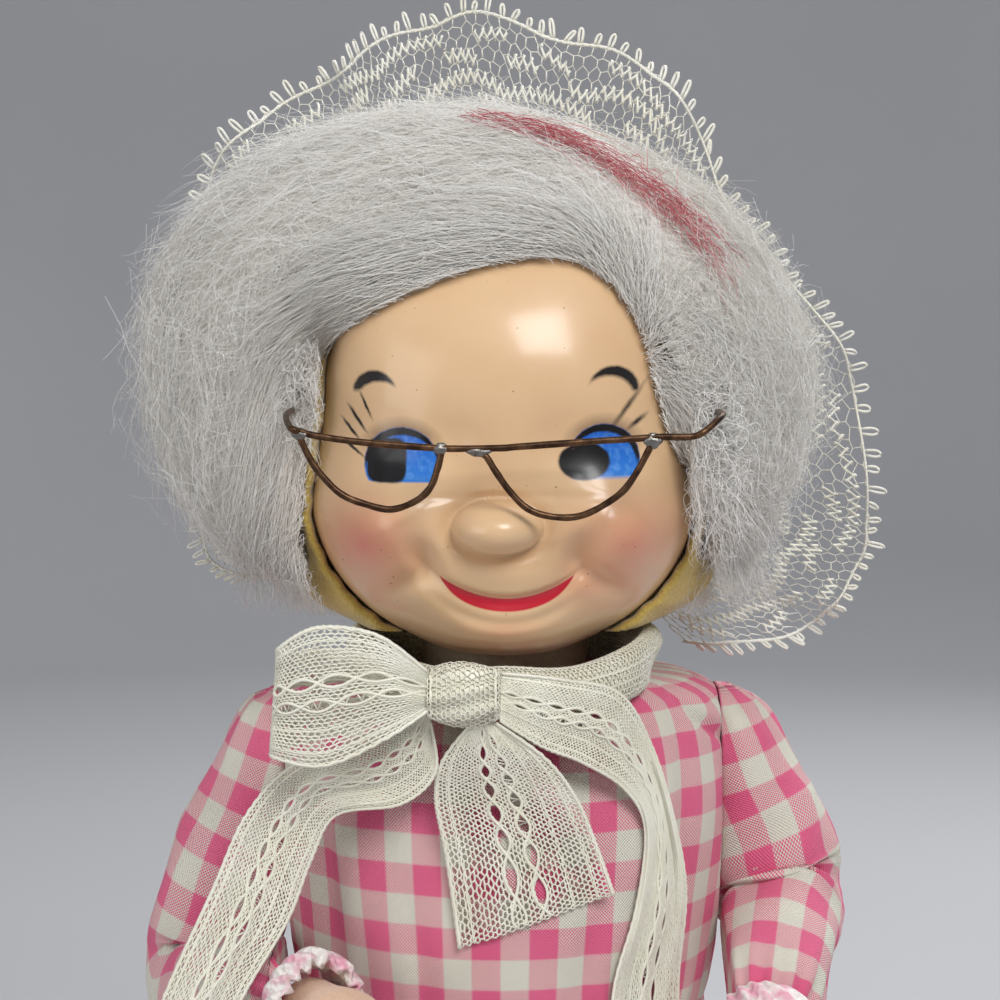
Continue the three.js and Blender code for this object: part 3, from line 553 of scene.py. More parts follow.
def net(length, width, cell, holes=()):
    """A flat net of six-sided cells, as zigzag threads along the strip and short ties between them. A hole,
    given by its middle and half sizes, pushes the threads aside, and ties across it are left out."""
    rows = int(width / (cell * 0.82))
    steps = int(length / cell) * 2 + 1
    x = np.linspace(0, length, steps)
    gap = width / rows
    level = np.arange(rows + 1)[:, None]
    zigzag = np.where((np.arange(steps) + level) % 2 == 0, 0.2, -0.2)
    y = np.clip((level + zigzag) * gap, 0, width)
    flat = np.stack([np.broadcast_to(x, y.shape), y], -1)
    flat[1:-1, 1:-1] += chance.uniform(-0.16, 0.16, (rows - 1, steps - 2, 2)) * cell
    open_at = np.zeros((rows, steps), bool)
    for mid_x, mid_y, half_x, half_y in holes:
        off = flat[..., 1] - mid_y
        edge = half_y * np.sqrt(np.clip(1 - ((flat[..., 0] - mid_x) / half_x) ** 2, 0, 1))
        far = 2.4 * half_y
        moved = np.where(off >= 0, 1, -1) * (edge + np.abs(off) * (1 - edge / far))
        open_at |= (edge[:-1] > 0) & (off[:-1] < 0) & (off[1:] >= 0)
        flat[..., 1] = np.where((edge > 0) & (np.abs(off) < far), mid_y + moved, flat[..., 1])
    tie = ((np.arange(steps) + level[:-1]) % 2 == 0) & ~open_at
    ties = np.stack([flat[:-1][tie], flat[1:][tie]], 1)
    return flat, ties


def lay_lace(surface, length, width, cell, thread, holes=(), cords=(), windings=()):
    """A strip of net laid on a surface, which takes shares along and across and gives points. Cords are
    thicker threads along the strip, each given by its share across and its radius, and windings are
    thicker threads given by their places on the flat strip."""
    flat, ties = net(length, width, cell, holes)
    place = lambda at: surface(at[..., 0] / length, at[..., 1] / width)
    parts = [threads(place(flat), thread), threads(place(ties), thread)]
    along = np.linspace(0, length, int(length / 1.1))
    for across, radius in cords:
        sway = across * width + 0.25 * np.sin(along * 2.9)
        parts.append(threads(place(np.stack([along, sway], -1)[None]), radius, 4))
    parts += [threads(place(line[None]), 0.36, 4) for line in windings]
    return join(*parts)


neck_low, neck_high = node_box("neck_lace")
neck_half = [neck_high[0] - 0.6, (neck_high[1] - neck_low[1]) / 2 - 1.2]
neck_middle = (neck_high[1] + neck_low[1]) / 2


def neck_wrap(share, roll, inward=0.0):
    """An oval round the neck. Its section is an oval that rises and widens towards the sides, with long folds
    that run round it and small puckers; share goes round from the back and roll goes round the section."""
    turn = FULL_TURN * share + math.pi / 2
    around = FULL_TURN * roll
    at_side = np.cos(turn) ** 2
    half = 4.4 + 2.0 * at_side - inward
    thick = 3.4 - inward + 0.5 * np.sin(3 * around + 4 * turn) + 0.35 * np.sin(9 * turn + 2 * np.sin(around))
    in_front = bump_at(np.cos(turn), 0, 0.36) * (np.sin(turn) < 0)
    middle = neck_low[2] + 1.4 + 3.4 * at_side ** 1.5 + 1.8 * in_front
    out = thick * np.cos(around) - 3.2 + (3 * at_side - 1.5) * np.sin(around)
    return np.stack([(neck_half[0] + out) * np.cos(turn), neck_middle + (neck_half[1] + out) * np.sin(turn),
                     middle + half * np.sin(around)], -1)


neck_girth, neck_roll = 232.0, 27.0
neck_net = lay_lace(neck_wrap, neck_girth, neck_roll, cell=1.25, thread=0.25,
                    cords=[(0.08, 0.35), (0.3, 0.3)])
round_neck, round_roll = np.meshgrid(np.linspace(0, 1, 200, endpoint=False),
                                     np.linspace(0, 1, 20, endpoint=False))
neck_lining = neck_wrap(round_neck, round_roll, 0.35)
points, faces = join(neck_net, (neck_lining.reshape(-1, 3), [grid_faces(*neck_lining.shape[:2])]))
neck_lace = fit(new_piece("neck_lace_wrap", points, faces, lace_thread), "body", "ivory_lace", "neck_lace")


# Bow: ribbon lace 34 mm wide tied off centre under the chin, with one open loop and three hanging ends.
# Dense knitted net with a double row of diamond holes along its middle and corded edges.

knot_low, knot_high = node_box("bow_knot")
knot = (knot_low + knot_high) / 2


def chest_at(x, z):
    """How far forward the bodice's cloth stands at a place on its front."""
    heights, wides, deeps = np.array(bodice_profile).T
    wide, deep = np.interp(z, heights, wides), np.interp(z, heights, deeps)
    return deep * np.sqrt(np.clip(1 - (x / wide) ** 2, 0, 1))


def ribbon_surface(edges, ripple, on_chest=True):
    """A ribbon between two smooth edges, rippled lengthwise, and never closer to the chest than 0.9 mm."""
    one, other = (np.array([pair[k] for pair in edges], float) for k in (0, 1))

    def surface(along, across):
        """A place on the ribbon from its shares along and across."""
        start, stop = curve(one, along), curve(other, along)
        at = start + (stop - start) * across[..., None]
        wave = np.sin(FULL_TURN * (2.5 * across + 0.6 * np.sin(3 * along)))
        wave += 0.6 * np.sin(7.3 * across + 9 * along)
        at[..., 1] += ripple * wave * (0.4 + along)
        if on_chest:
            at[..., 1] = np.minimum(at[..., 1], -chest_at(at[..., 0], at[..., 2]) - 0.9)
        return at
    return surface


hole_step = 6.2
hole_rows = (0.40, 0.56)


def diamonds(length, width):
    """Two staggered rows of diamond holes along the middle of the ribbon."""
    return [(x, width * across, 1.9, 1.1) for across, shift in zip(hole_rows, (0.0, 0.5))
            for x in np.arange(4 + shift * hole_step, length - 3, hole_step)]


def lattice(length, width):
    """Shiny cords that wind round the holes: for each row two waves, half a turn apart, that cross between
    one hole and the next."""
    x = np.arange(0, length, 0.5)
    for across, shift in zip(hole_rows, (0.0, 0.5)):
        wave = 1.5 * np.cos(math.pi * ((x - 4) / hole_step - shift))
        for side in (-1, 1):
            yield np.stack([x, width * across + side * wave], -1)


# Edge points of the loop and of each end, in millimetres: one edge, then the other, out from the knot.
bow_loop = [
    ((-15, -57, 249.5), (-15, -57, 241.5)), ((-24.5, -59.5, 257), (-23, -60, 236.5)),
    ((-36, -59, 258.6), (-35, -59.5, 231)), ((-43.6, -56.4, 254.5), (-45, -56.5, 232)),
    ((-43.4, -53.5, 252.5), (-44.6, -53.5, 233)), ((-34, -51.5, 253), (-34, -51.5, 235.5)),
    ((-24, -51.5, 251), (-23, -51.5, 239)), ((-15, -52.5, 248), (-15, -52.5, 242)),
]
viewer_left_end = [
    ((-15.4, -51.4, 243.4), (-14.6, -51.8, 238.4)), ((-22, -50.5, 238.5), (-13.6, -51, 228)),
    ((-31, -49, 233.5), (-20.5, -50, 221.3)), ((-43, -48.4, 228.6), (-33.5, -48.8, 218.8)),
    ((-52, -48.2, 218.6), (-38.8, -48.4, 209.4)), ((-58.8, -49, 203.6), (-43.6, -49.2, 197)),
    ((-68.6, -51, 182), (-52.6, -51, 181.8)), ((-73.6, -50.4, 167), (-59.4, -50.2, 165.6)),
]
middle_end = [
    ((-6.3, -54, 238.6), (-1.6, -54, 238.6)), ((-12.4, -51.6, 230.4), (8.4, -51.4, 231)),
    ((-13.9, -48.6, 222.2), (14.6, -48.4, 222.4)), ((-11.8, -47.6, 210), (18.9, -46, 212)),
    ((-9.2, -47.8, 190.8), (22.6, -45.2, 201.6)),
]
viewer_right_end = [
    ((-0.6, -54, 248.6), (-0.8, -54, 239)), ((12, -51.6, 246.8), (7.5, -50.4, 233)),
    ((23.4, -45.4, 243), (15.6, -47.4, 229.2)), ((30.2, -38.6, 231.4), (24.6, -42.8, 222.6)),
    ((34.8, -36.4, 217), (29, -40.4, 213.4)), ((38.1, -34.2, 199.4), (27, -41.8, 197)),
    ((36.8, -34.2, 180), (22.4, -43, 180.4)), ((37, -35.2, 160.8), (22, -44.2, 160.8)),
]
ribbon_width = 34.0
edge_cords = [(0.012, 0.4), (0.988, 0.4), (0.1, 0.26), (0.9, 0.26), (0.74, 0.24)]
for name, node, edges, length, ripple, on_chest in [
    ("bow_loop_lace", "bow_loop", bow_loop, 66.0, 0.35, False),
    ("bow_right_tail_lace", "bow_right_tail", viewer_left_end, 108.0, 0.55, True),
    ("bow_center_tail_lace", "bow_center_tail", middle_end, 50.0, 0.35, True),
    ("bow_left_tail_lace", "bow_left_tail", viewer_right_end, 112.0, 0.5, True),
]:
    points, faces = lay_lace(ribbon_surface(edges, ripple, on_chest), length, ribbon_width, cell=1.15,
                             thread=0.26, holes=diamonds(length, ribbon_width), cords=edge_cords,
                             windings=lattice(length, ribbon_width))
    ribbon = new_piece(name, points, faces, lace_thread)
    if node == "bow_right_tail":
        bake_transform(ribbon)
        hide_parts(node)
    else:
        fit(ribbon, "body", "ivory_lace", node)


def knot_wrap(along, around):
    """The ribbon drawn tight round the knot: a barrel with deep lengthwise folds, pinched at both sides."""
    turn = FULL_TURN * around
    share = 2 * along - 1
    swell = np.sqrt(np.clip(1 - 0.5 * share ** 2, 0, 1)) * (1 + 0.09 * np.sin(7 * turn + 2 * share))
    half = (knot_high - knot_low) / 2
    return np.stack([knot[0] + half[0] * share * 0.98, knot[1] + half[1] * swell * np.cos(turn),
                     knot[2] + half[2] * swell * np.sin(turn)], -1)


across_knot, round_knot = np.meshgrid(np.linspace(0, 1, 26), np.linspace(0, 1, 60, endpoint=False),
                                      indexing="ij")
core = knot_wrap(across_knot, round_knot)
core = knot + (core - knot) * 0.94
core = np.concatenate([core[:1] * 0 + core[0].mean(0), core, core[:1] * 0 + core[-1].mean(0)])
knot_core = fit(skin("bow_knot_core", core, lace_thread, ends=True), "body", "ivory_lace", "bow_knot")
points, faces = lay_lace(lambda along, around: knot_wrap(around, along), length=36.0, width=15.0,
                         cell=1.2, thread=0.2, cords=[(0.05, 0.34), (0.95, 0.34)])
knot_lace = fit(new_piece("bow_knot_lace", points, faces, lace_thread), "body", "ivory_lace")


# Stuffed head: yellow brushed flannel over wadding. It fills the back of the mask, and its edge is turned
# over the mask's rim, where it shows as a thin yellow line round the face.

head_low, head_high = node_box("head_back")
eye_height = node_box("face_mask")[0][2] + 41.2
mask_half, mask_drop, mask_rise = 40.0, 42.8, 53.0
mask_rim = 23.0
face_side = [(0.27, -0.975), (0.52, -0.88), (0.73, -0.75), (0.9, -0.56), (1, -0.32), (0.985, -0.1),
             (0.94, 0.15), (0.92, 0.38), (0.85, 0.62), (0.67, 0.83), (0.36, 0.96)]
face_half = [(x * mask_half, z * (mask_drop if z < 0 else mask_rise)) for x, z in face_side]
face_other_half = [(-x, z) for x, z in face_half[::-1]]
face_outline = [(0, -mask_drop), *face_half, (0, mask_rise), *face_other_half, (0, -mask_drop)]
head_columns, mask_columns = 200, 288


def face_edge(count):
    """Points round the mask's outline, sideways and up from the middle of the eye line."""
    return curve(face_outline, np.linspace(0, 1, count, endpoint=False))


def head_rings():
    """From a point inside the head out under the mask's rim, over the turned edge and back round the dome,
    which bulges beside the jaw. Away from the neck tube its underside clears the lace band."""
    edge = face_edge(head_columns)
    outward = unit(edge)
    ring = lambda at, ahead: np.column_stack([at[:, 0], np.full(len(at), -ahead), eye_height + at[:, 1]])
    wrinkle = 0.2 * np.sin(46 * turns(head_columns)) + 0.15 * np.sin(29 * turns(head_columns) + 1)
    lip = [(-1.2, 17), (0.3, 21), (0.5, 23.6), (0.9, 24.9), (1.7, 25.3), (2.5, 24.4), (2.9, 22), (2.9, 14),
           (2.8, 4)]
    rows = [ring(edge * 0, 12)]
    rows += [ring(edge + outward * (out + wrinkle * (ahead > 20))[:, None], ahead) for out, ahead in lip]
    rows += [ring(edge * (size + 0.065), -back) for size, back in
             [(0.985, 4), (0.94, 13), (0.85, 21), (0.72, 28), (0.55, 33), (0.32, 36.5)]]
    rows += [ring(edge * 0, -head_high[1])]
    rings = np.stack(rows)
    depth = np.interp(rings[..., 1], [-22, -14, -4, 4, 13, 21, 28], [0.2, 0.8, 1, 1, 0.8, 0.5, 0])
    beside_jaw = bump_at(edge[:, 1], -29.5, 9) * edge[:, 0] / mask_half
    rings[..., 0] += 13 * depth * beside_jaw * (rings[..., 1] > -23)
    from_neck = np.hypot(rings[..., 0], rings[..., 1])
    rings[..., 2] = np.maximum(rings[..., 2], head_low[2] + 3.4 * np.clip((from_neck - 19) / 5, 0, 1))
    return rings


flannel = two_tone("yellow_flannel", 0.97, 1300.0, 5.0, (176, 142, 56), (226, 200, 112), 0.0005,
                   Sheen_Weight=0.5)
head = fit(skin("stuffed_head", head_rings(), flannel, ends=True), "head", "yellow_flannel", "head_back")


# Face mask: a thin moulded shell with apple cheeks, a ball nose and a smile, sprayed a glossy peach.
# Lips, eyes, brows and lashes are painted on, the cheeks are dusted with red, and age has left specks.

nose_at = np.array([-1.2, -12.9])
# Height, place, half width, half height and turn of each soft rise or dent of the face.
face_spots = [
    (7.0, (25.2, -13.4), 12.0, 10.5), (7.0, (-25.2, -13.4), 12.0, 10.5),
    (3.0, (0, 24), 22, 20), (2.4, (0.4, -36.5), 12, 4.6), (2.2, (0, -21.5), 13, 4.6),
    (-1.1, (-19, 4), 10, 8), (-1.1, (19, 4), 10, 8), (-1.3, (-9.5, 3), 4.6, 7), (-0.9, (9.5, 3), 4.6, 7),
    (-3.4, (-15.8, -20.0), 2.8, 5.2, 24), (-3.0, (14.4, -19.4), 2.8, 5.2, -22),
    (-2.3, (19.4, -24), 6.2, 2.2, -36), (-1.6, (-19, -24.6), 5.2, 2.3, 36),
]
mouth_middle, mouth_half, mouth_rise = 0.6, 13.6, 4.6


def soft_spot(x, z, at, wide, tall, turn=0.0):
    """A smooth bump of 1 at a place on the face (Gauss), wider one way and turned by degrees."""
    c, s = math.cos(math.radians(turn)), math.sin(math.radians(turn))
    u, v = (x - at[0]) * c + (z - at[1]) * s, (z - at[1]) * c - (x - at[0]) * s
    return np.exp(-(u / wide) ** 2 - (v / tall) ** 2)


def smile(x):
    """Height of the line between the lips, a bowl that rises to both corners of the mouth."""
    return -27.4 + mouth_rise * ((x - mouth_middle) / mouth_half) ** 2


def face_ahead(x, z, share):
    """How far the face stands ahead of the neck axis. A dome that falls to the rim with the share of the way
    from nose to edge, plus cheeks, brow and chin, less the dents beside the mouth and under the brow, plus a
    ball nose that meets the face in a crease."""
    down = np.clip((nose_at[1] - z) / np.maximum(np.hypot(x - nose_at[0], z - nose_at[1]), 1e-6), 0, 1)
    dome = mask_rim + 27 * (1 - share ** (3 + 3 * down ** 4)) ** 0.75
    relief = sum(tall * soft_spot(x, z, *spot) for tall, *spot in face_spots)
    under = z - smile(x)
    reach = np.exp(-((x - mouth_middle) / 15.5) ** 6)
    relief += -1.5 * reach * np.exp(-(np.minimum(under, 0) / 2.6) ** 2 - (np.maximum(under, 0) / 0.9) ** 2)
    relief += -0.9 * np.exp(-((x - mouth_middle) / 13) ** 4) * np.exp(-((under + 5.2) / 1.5) ** 2)
    line = z + 6.8 + 0.004 * np.abs(x - 2) ** 1.6
    relief += -0.3 * np.exp(-(line / 1.0) ** 2 - ((x - 2) / 25) ** 6)
    q = ((x - nose_at[0]) / 9.2) ** 2 + ((z - nose_at[1]) / 5.6) ** 2
    crease = -0.6 * np.exp(-((np.sqrt(q) - 1.05) / 0.2) ** 2)
    ball = 10.4 * np.clip(1 - q, 0, 1) ** 0.6
    return dome + (relief + crease) * (1 - share ** 4) + ball


def mask_rings():
    """Spokes from the nose to the outline: the moulded front, a rounded rim, then a plain back."""
    edge = face_edge(mask_columns)
    shares = np.concatenate([[0], np.linspace(0.012, 0.999, 168)])[:, None]
    spokes = lambda shares: (nose_at[k] + (edge[:, k] - nose_at[k]) * shares for k in (0, 1))
    x, z = spokes(shares)
    front = np.stack([x, -face_ahead(x, z, shares), eye_height + z], -1)
    outward = unit(edge)
    out_x, out_z = (edge + outward * 0.2).T
    rim = [np.column_stack([out_x, np.full(mask_columns, behind - mask_rim), eye_height + out_z])
           for behind in (0.4, 1.2)]
    back_shares = np.linspace(0.97, 0, 12)[:, None]
    x, z = spokes(back_shares)
    dome = mask_rim + 23 * (1 - back_shares ** 3) ** 0.75 - 2.0
    back = np.stack([x, -dome + 0 * x, eye_height + z], -1)
    return np.concatenate([front, np.stack(rim), back])


def mask_paint(name):
    """Paint in layers on the peach: each eye, brow, lash and lip is made of ovals on the face's own plane."""
    made, tree, shader = new_finish(
        name, 0.32, Coat_Weight=0.45, Coat_Roughness=0.17, Specular_IOR_Level=0.35,
        Subsurface_Weight=0.06, Subsurface_Scale=0.004, Subsurface_Radius=(1, 0.5, 0.3))
    place = put(tree, "SeparateXYZ", {0: put(tree, "TexCoord").outputs["Object"]})
    x = calc(tree, "MULTIPLY", place.outputs[0], 1000.0)
    z = calc(tree, "MULTIPLY_ADD", place.outputs[2], 1000.0)
    z.node.inputs[2].default_value = -eye_height
    flat = put(tree, "CombineXYZ", {0: x, 1: z}).outputs[0]
    waver = put(tree, "TexNoise", {"Vector": flat, "Scale": 0.9, "Detail": 2.0}).outputs[1]
    shift = put(tree, "VectorMath", {0: waver, 1: (0.5, 0.5, 0.5)}, operation="SUBTRACT").outputs[0]
    by_hand = {0: shift, 1: (0.35, 0.35, 0), 2: flat}
    loose = put(tree, "VectorMath", by_hand, operation="MULTIPLY_ADD").outputs[0]

    def spot(at, wide, tall, turn=0.0):
        """Place on the face in shares of an oval's half sizes, from its middle."""
        return put(tree, "Mapping", {0: loose, 1: (at[0], at[1], 0), 2: (0, 0, math.radians(turn)),
                                     3: (wide, tall, 1)}, vector_type="TEXTURE").outputs[0]

    def within(reach, edge):
        """1 where the reach is less than 1, falling to 0 over the edge."""
        return between(tree, reach, 1 + edge / 2, 1 - edge / 2)

    def oval(at, wide, tall, turn=0.0, soft=0.35):
        """1 inside an oval, falling to 0 over a soft edge in millimetres."""
        reach = put(tree, "VectorMath", {0: spot(at, wide, tall, turn)}, operation="LENGTH").outputs[1]
        return within(reach, soft / min(wide, tall))

    def both(first, second):
        """Where both are."""
        return calc(tree, "MULTIPLY", first, second)

    def less(first, second):
        """Where the first is and the second isn't."""
        return both(first, calc(tree, "SUBTRACT", 1.0, second))

    def either(*masks):
        """Where any of them is."""
        found = masks[0]
        for mask in masks[1:]:
            found = calc(tree, "MAXIMUM", found, mask)
        return found

    def stroke(start, stop, wide, soft=0.3):
        """A brush stroke: a thin oval from one place to another."""
        start, stop = np.array(start), np.array(stop)
        run = stop - start
        turn = math.degrees(math.atan2(run[1], run[0]))
        return oval((start + stop) / 2, np.linalg.norm(run) / 2, wide / 2, turn, soft)

    cloud = noise(tree, 60.0, 4.0)
    colour = mix(tree, cloud, screen(214, 174, 132), screen(228, 194, 152))
    for at, wide, tall, strength in (((-28.2, -17.2), 11, 9.5, 0.75), ((25.6, -16.6), 12.5, 9.5, 0.55),
                                     ((0.4, -35), 9, 4, 0.22), ((16.5, -25.5), 8, 5, 0.25)):
        dust = calc(tree, "POWER", oval(at, wide * 0.75, tall * 0.75, 0, 2 * min(wide, tall) * 0.74), 1.4)
        colour = mix(tree, both(dust, strength), colour, screen(214, 96, 82))

    from_middle = calc(tree, "DIVIDE", calc(tree, "SUBTRACT", x, mouth_middle), mouth_half)
    bowl = calc(tree, "POWER", calc(tree, "ABSOLUTE", from_middle), 2.0)
    below = calc(tree, "SUBTRACT", calc(tree, "MULTIPLY_ADD", bowl, mouth_rise), z)
    below.node.inputs[0].links[0].from_node.inputs[2].default_value = -27.3
    depth = both(calc(tree, "SUBTRACT", 1.0, calc(tree, "POWER", bowl, 3.0)), 2.7)
    above_edge = between(tree, calc(tree, "SUBTRACT", depth, below), -0.15, 0.2)
    lips = both(both(between(tree, below, -0.1, 0.2), above_edge), between(tree, bowl, 1.06, 0.98))
    colour = mix(tree, lips, colour, mix(tree, cloud, screen(176, 18, 38), screen(206, 30, 52)))

    def block(at, wide, tall, soft=0.35):
        """1 inside a square with round corners: the fourth powers of both shares add up to less than 1."""
        place = spot(at, wide, tall)
        square = put(tree, "VectorMath", {0: place, 1: place}, operation="MULTIPLY").outputs[0]
        fourth = put(tree, "VectorMath", {0: square, 1: square}, operation="DOT_PRODUCT").outputs[1]
        return within(calc(tree, "POWER", fourth, 0.25), soft / min(wide, tall))

    black = screen(10, 8, 10)
    blue = mix(tree, between(tree, z, -4.5, 5.5), screen(52, 128, 214), screen(18, 92, 190))
    brushed = both(between(tree, noise(tree, 700.0, 2.0), 0.45, 0.7), 0.35)
    blue = mix(tree, brushed, blue, screen(120, 176, 232))
    eyes = [((-20.4, -0.6), 7.6, 7.2, -4.1, 0.35, block((-23.4, 0.1), 4.1, 4.4, 0.45), 9),
            ((19.9, 0.1), 7.4, 7.2, -3.3, 0.9, oval((15.9, 0.0), 5.2, 3.75, 0, 0.45), -10)]
    for eye, wide, tall, floor, fade, pupil, lid_turn in eyes:
        whole = both(oval(eye, wide, tall, 0, 0.4), between(tree, z, floor - fade / 2, floor + fade / 2))
        inner = oval((eye[0] - 0.3 * np.sign(eye[0]), eye[1] - 1.3), wide - 0.35, tall - 0.2, lid_turn, 0.4)
        lid = both(less(whole, inner), between(tree, z, eye[1] - 1.5, eye[1] + 0.5))
        halo = less(oval((eye[0], eye[1] + 0.6), wide + 1.2, tall + 0.8, 0, 2.4), whole)
        halo = both(halo, between(tree, z, eye[1] + 1.5, eye[1] + 6.0))
        colour = mix(tree, both(halo, 0.55), colour, screen(92, 64, 46))
        colour = mix(tree, whole, colour, blue)
        colour = mix(tree, either(lid, pupil), colour, black)

    brows = either(
        less(oval((-26.0, 13.4), 4.6, 4.4, -8, 0.6), oval((-24.6, 11.5), 5.0, 4.1, -8, 0.7)),
        less(oval((21.9, 14.2), 5.2, 4.6, 6, 0.6), oval((20.6, 12.4), 5.4, 4.4, 6, 0.8)))
    brows = both(brows, between(tree, z, 13.2, 14.2))
    lashes = either(
        stroke((-28.9, 13.2), (-26.7, 8.6), 0.55), stroke((-31.5, 10.7), (-27.9, 5.8), 0.75),
        stroke((-32.9, 8.0), (-29.4, 4.2), 0.7), stroke((-32.8, 3.8), (-28.3, 0.6), 0.6),
        stroke((27.2, 14.0), (22.0, 7.2), 0.8, 0.8), stroke((28.4, 8.9), (25.2, 6.5), 0.9, 0.6))
    colour = mix(tree, either(brows, lashes), colour, screen(26, 20, 20))

    specks = put(tree, "TexVoronoi", {"Vector": flat, "Scale": 0.42, "Randomness": 1.0}).outputs[0]
    where = put(tree, "TexNoise", {"Vector": flat, "Scale": 0.11, "Detail": 1.0}).outputs[0]
    dirt = both(between(tree, specks, 0.1, 0.05), between(tree, where, 0.52, 0.6))
    colour = mix(tree, both(dirt, 0.7), colour, screen(92, 58, 44))
    paint(tree, shader, colour, noise(tree, 420.0, 3.0), 0.00004)
    return made


mask = skin("mask_face", mask_rings(), mask_paint("peach_paint"), ends=True)
fit(mask, "head", "painted_mask", "face_mask")


# Wig: white mohair, teased out and combed over from a parting at the doll's left, glued to the stuffed head.
# A soft mass carries the colour, and many thousands of fine hairs lie over it and stand off it.

def hair_finish(name, roughness, dark, light, **sockets):
    """A finish for hairs that each have their own tone."""
    made, tree, shader = new_finish(name, roughness, **sockets)
    tone = put(tree, "Attribute", attribute_name="tone").outputs[2]
    paint(tree, shader, mix(tree, tone, screen(*dark), screen(*light)))
    return made


mohair = hair_finish("white_mohair", 0.5, (226, 220, 208), (255, 254, 251), Sheen_Weight=0.25,
                     Specular_IOR_Level=0.45)
under_hair = two_tone("mohair_mass", 0.95, 420.0, 6.0, (206, 199, 187), (236, 232, 224), 0.002, (0.3, 0.7),
                      Sheen_Weight=0.4)
wig_low, wig_high = node_box("wig")
hair_middle = np.array([0.0, 0.0, 305.0])
hair_half = np.array([(wig_high[0] - wig_low[0]) / 2, wig_high[1], wig_high[2] - hair_middle[2]])
hair_front = -wig_low[1]
inside_hair = 60
# The edge of the hair on the face's plane, from the doll's left over the brow, and where it is brushed from.
hairline = np.array([(43, -35), (45, -23), (43, -10), (35, 4), (31, 17), (27, 29), (20.5, 37.5), (11, 41.5),
                     (-5, 39.5), (-21, 33.5), (-36.5, 24), (-41, 12), (-42.5, -6), (-43, -20), (-38.5, -31),
                     (-33, -37)])
hair_roots = curve(hairline, np.linspace(0, 1, 120))
brush_from = np.array([0, -2])


def hair_power(at):
    """How square the wig's form is: nearly round above, squarer below, where the hair hangs straight."""
    return 2.05 + 0.45 * np.clip((hair_middle[2] - at[..., 2]) / 34, 0, 1) ** 1.5


def hair_level(at):
    """Where a point lies against the wig's outer form: 1 on it, less inside. The form is a rounded box, the
    sum of the parts' shares to a power, that leans to the doll's right higher up."""
    off = at - hair_middle
    power = hair_power(at)
    lean = 0.13 * np.clip(off[..., 2], 0, None)
    aside = off[..., 0] + lean
    wide = np.where(aside < 0, hair_half[0] + 6, hair_half[0] - 5)
    depth = np.where(off[..., 1] < 0, hair_front, hair_half[1])
    tall = np.where(off[..., 2] < 0, 50.0, hair_half[2])
    parts = np.stack([np.abs(aside) / wide, np.abs(off[..., 1]) / depth, np.abs(off[..., 2]) / tall], -1)
    return (parts ** power[..., None]).sum(-1) ** (1 / power)


def from_hairline(at):
    """Distance from the hairline on the face's plane, less than 0 inside it, the way out from the face, and
    the number of the nearest point on the line."""
    flat = at[..., [0, 2]] - [0, eye_height]
    near = np.linalg.norm(flat[..., None, :] - hair_roots, axis=-1)
    pick = near.argmin(-1)
    way = unit(hair_roots[pick] - brush_from)
    offset = flat - hair_roots[pick]
    return np.where((offset * way).sum(-1) < 0, -1, 1) * near.min(-1), way, pick


def face_front(at):
    """How far forward the mask stands at a place, or 0 outside it; its share of the way from nose to edge
    comes from the outline's distance in the same direction."""
    edge = face_edge(600) - nose_at
    turn = np.arctan2(edge[:, 1], edge[:, 0])
    order = np.argsort(turn)
    x, z = at[..., 0], at[..., 2] - eye_height
    off = np.stack([x, z], -1) - nose_at
    reach = np.linalg.norm(edge, axis=1)
    limit = np.interp(np.arctan2(off[..., 1], off[..., 0]), turn[order], reach[order])
    share = np.linalg.norm(off, axis=-1) / limit
    return np.where(share < 0.999, face_ahead(x, z, np.minimum(share, 0.999)), 0)


root_x, root_z = hair_roots.T
root_ahead = np.maximum(face_front(np.column_stack([root_x, 0 * root_x, eye_height + root_z])), 25)


def hair_ahead(at):
    """The front of the hair: it starts on the mask at the hairline, goes over to the wig's form further out,
    and lies over the mask where it covers it."""
    flat = np.stack([at[..., 0], 0 * at[..., 0], at[..., 2]], -1)
    power = hair_power(at)
    form = hair_front * np.clip(1 - np.minimum(hair_level(flat), 1) ** power, 0, 1) ** (1 / power)
    away, _, pick = from_hairline(at)
    away = np.clip(away, 0, None)
    root = root_ahead[pick]
    rounded = root + (np.maximum(form, 12) - root) * (1 - np.exp(-away / 9))
    return np.maximum(rounded, face_front(at) + 0.6 + np.minimum(away, 3) * 0.4)


def settle(at, lift):
    """Sets points at a height over the wig's form, in shares of it. In front the form is rounded off towards
    the hairline, so that the hair rises from behind the mask's edge."""
    free = hair_middle + (at - hair_middle) * ((1 + lift) / hair_level(at))[..., None]
    front = hair_ahead(at) + 1.2 + 60 * np.maximum(lift, -0.012)
    pressed = np.stack([at[..., 0], -front, at[..., 2]], -1)
    return np.where((free[..., 1] < -front)[..., None], pressed, free)


mass = soft_copy("wig_mass", "wig", voxel=2.0, rounds=14, push=-2.2, finish=under_hair)
fit(mass, "head", "white_mohair", "wig")
places = np.empty(len(mass.data.vertices) * 3, np.float32)
mass.data.vertices.foreach_get("co", places)
places = places.reshape(-1, 3) * 1000
inside = np.minimum(0.955 / hair_level(places), 1)
places = hair_middle + (places - hair_middle) * inside[:, None]
places[:, 1] = np.maximum(places[:, 1], -hair_ahead(places) + 1.0)
mass.data.vertices.foreach_set("co", (places / 1000).astype(np.float32).ravel())


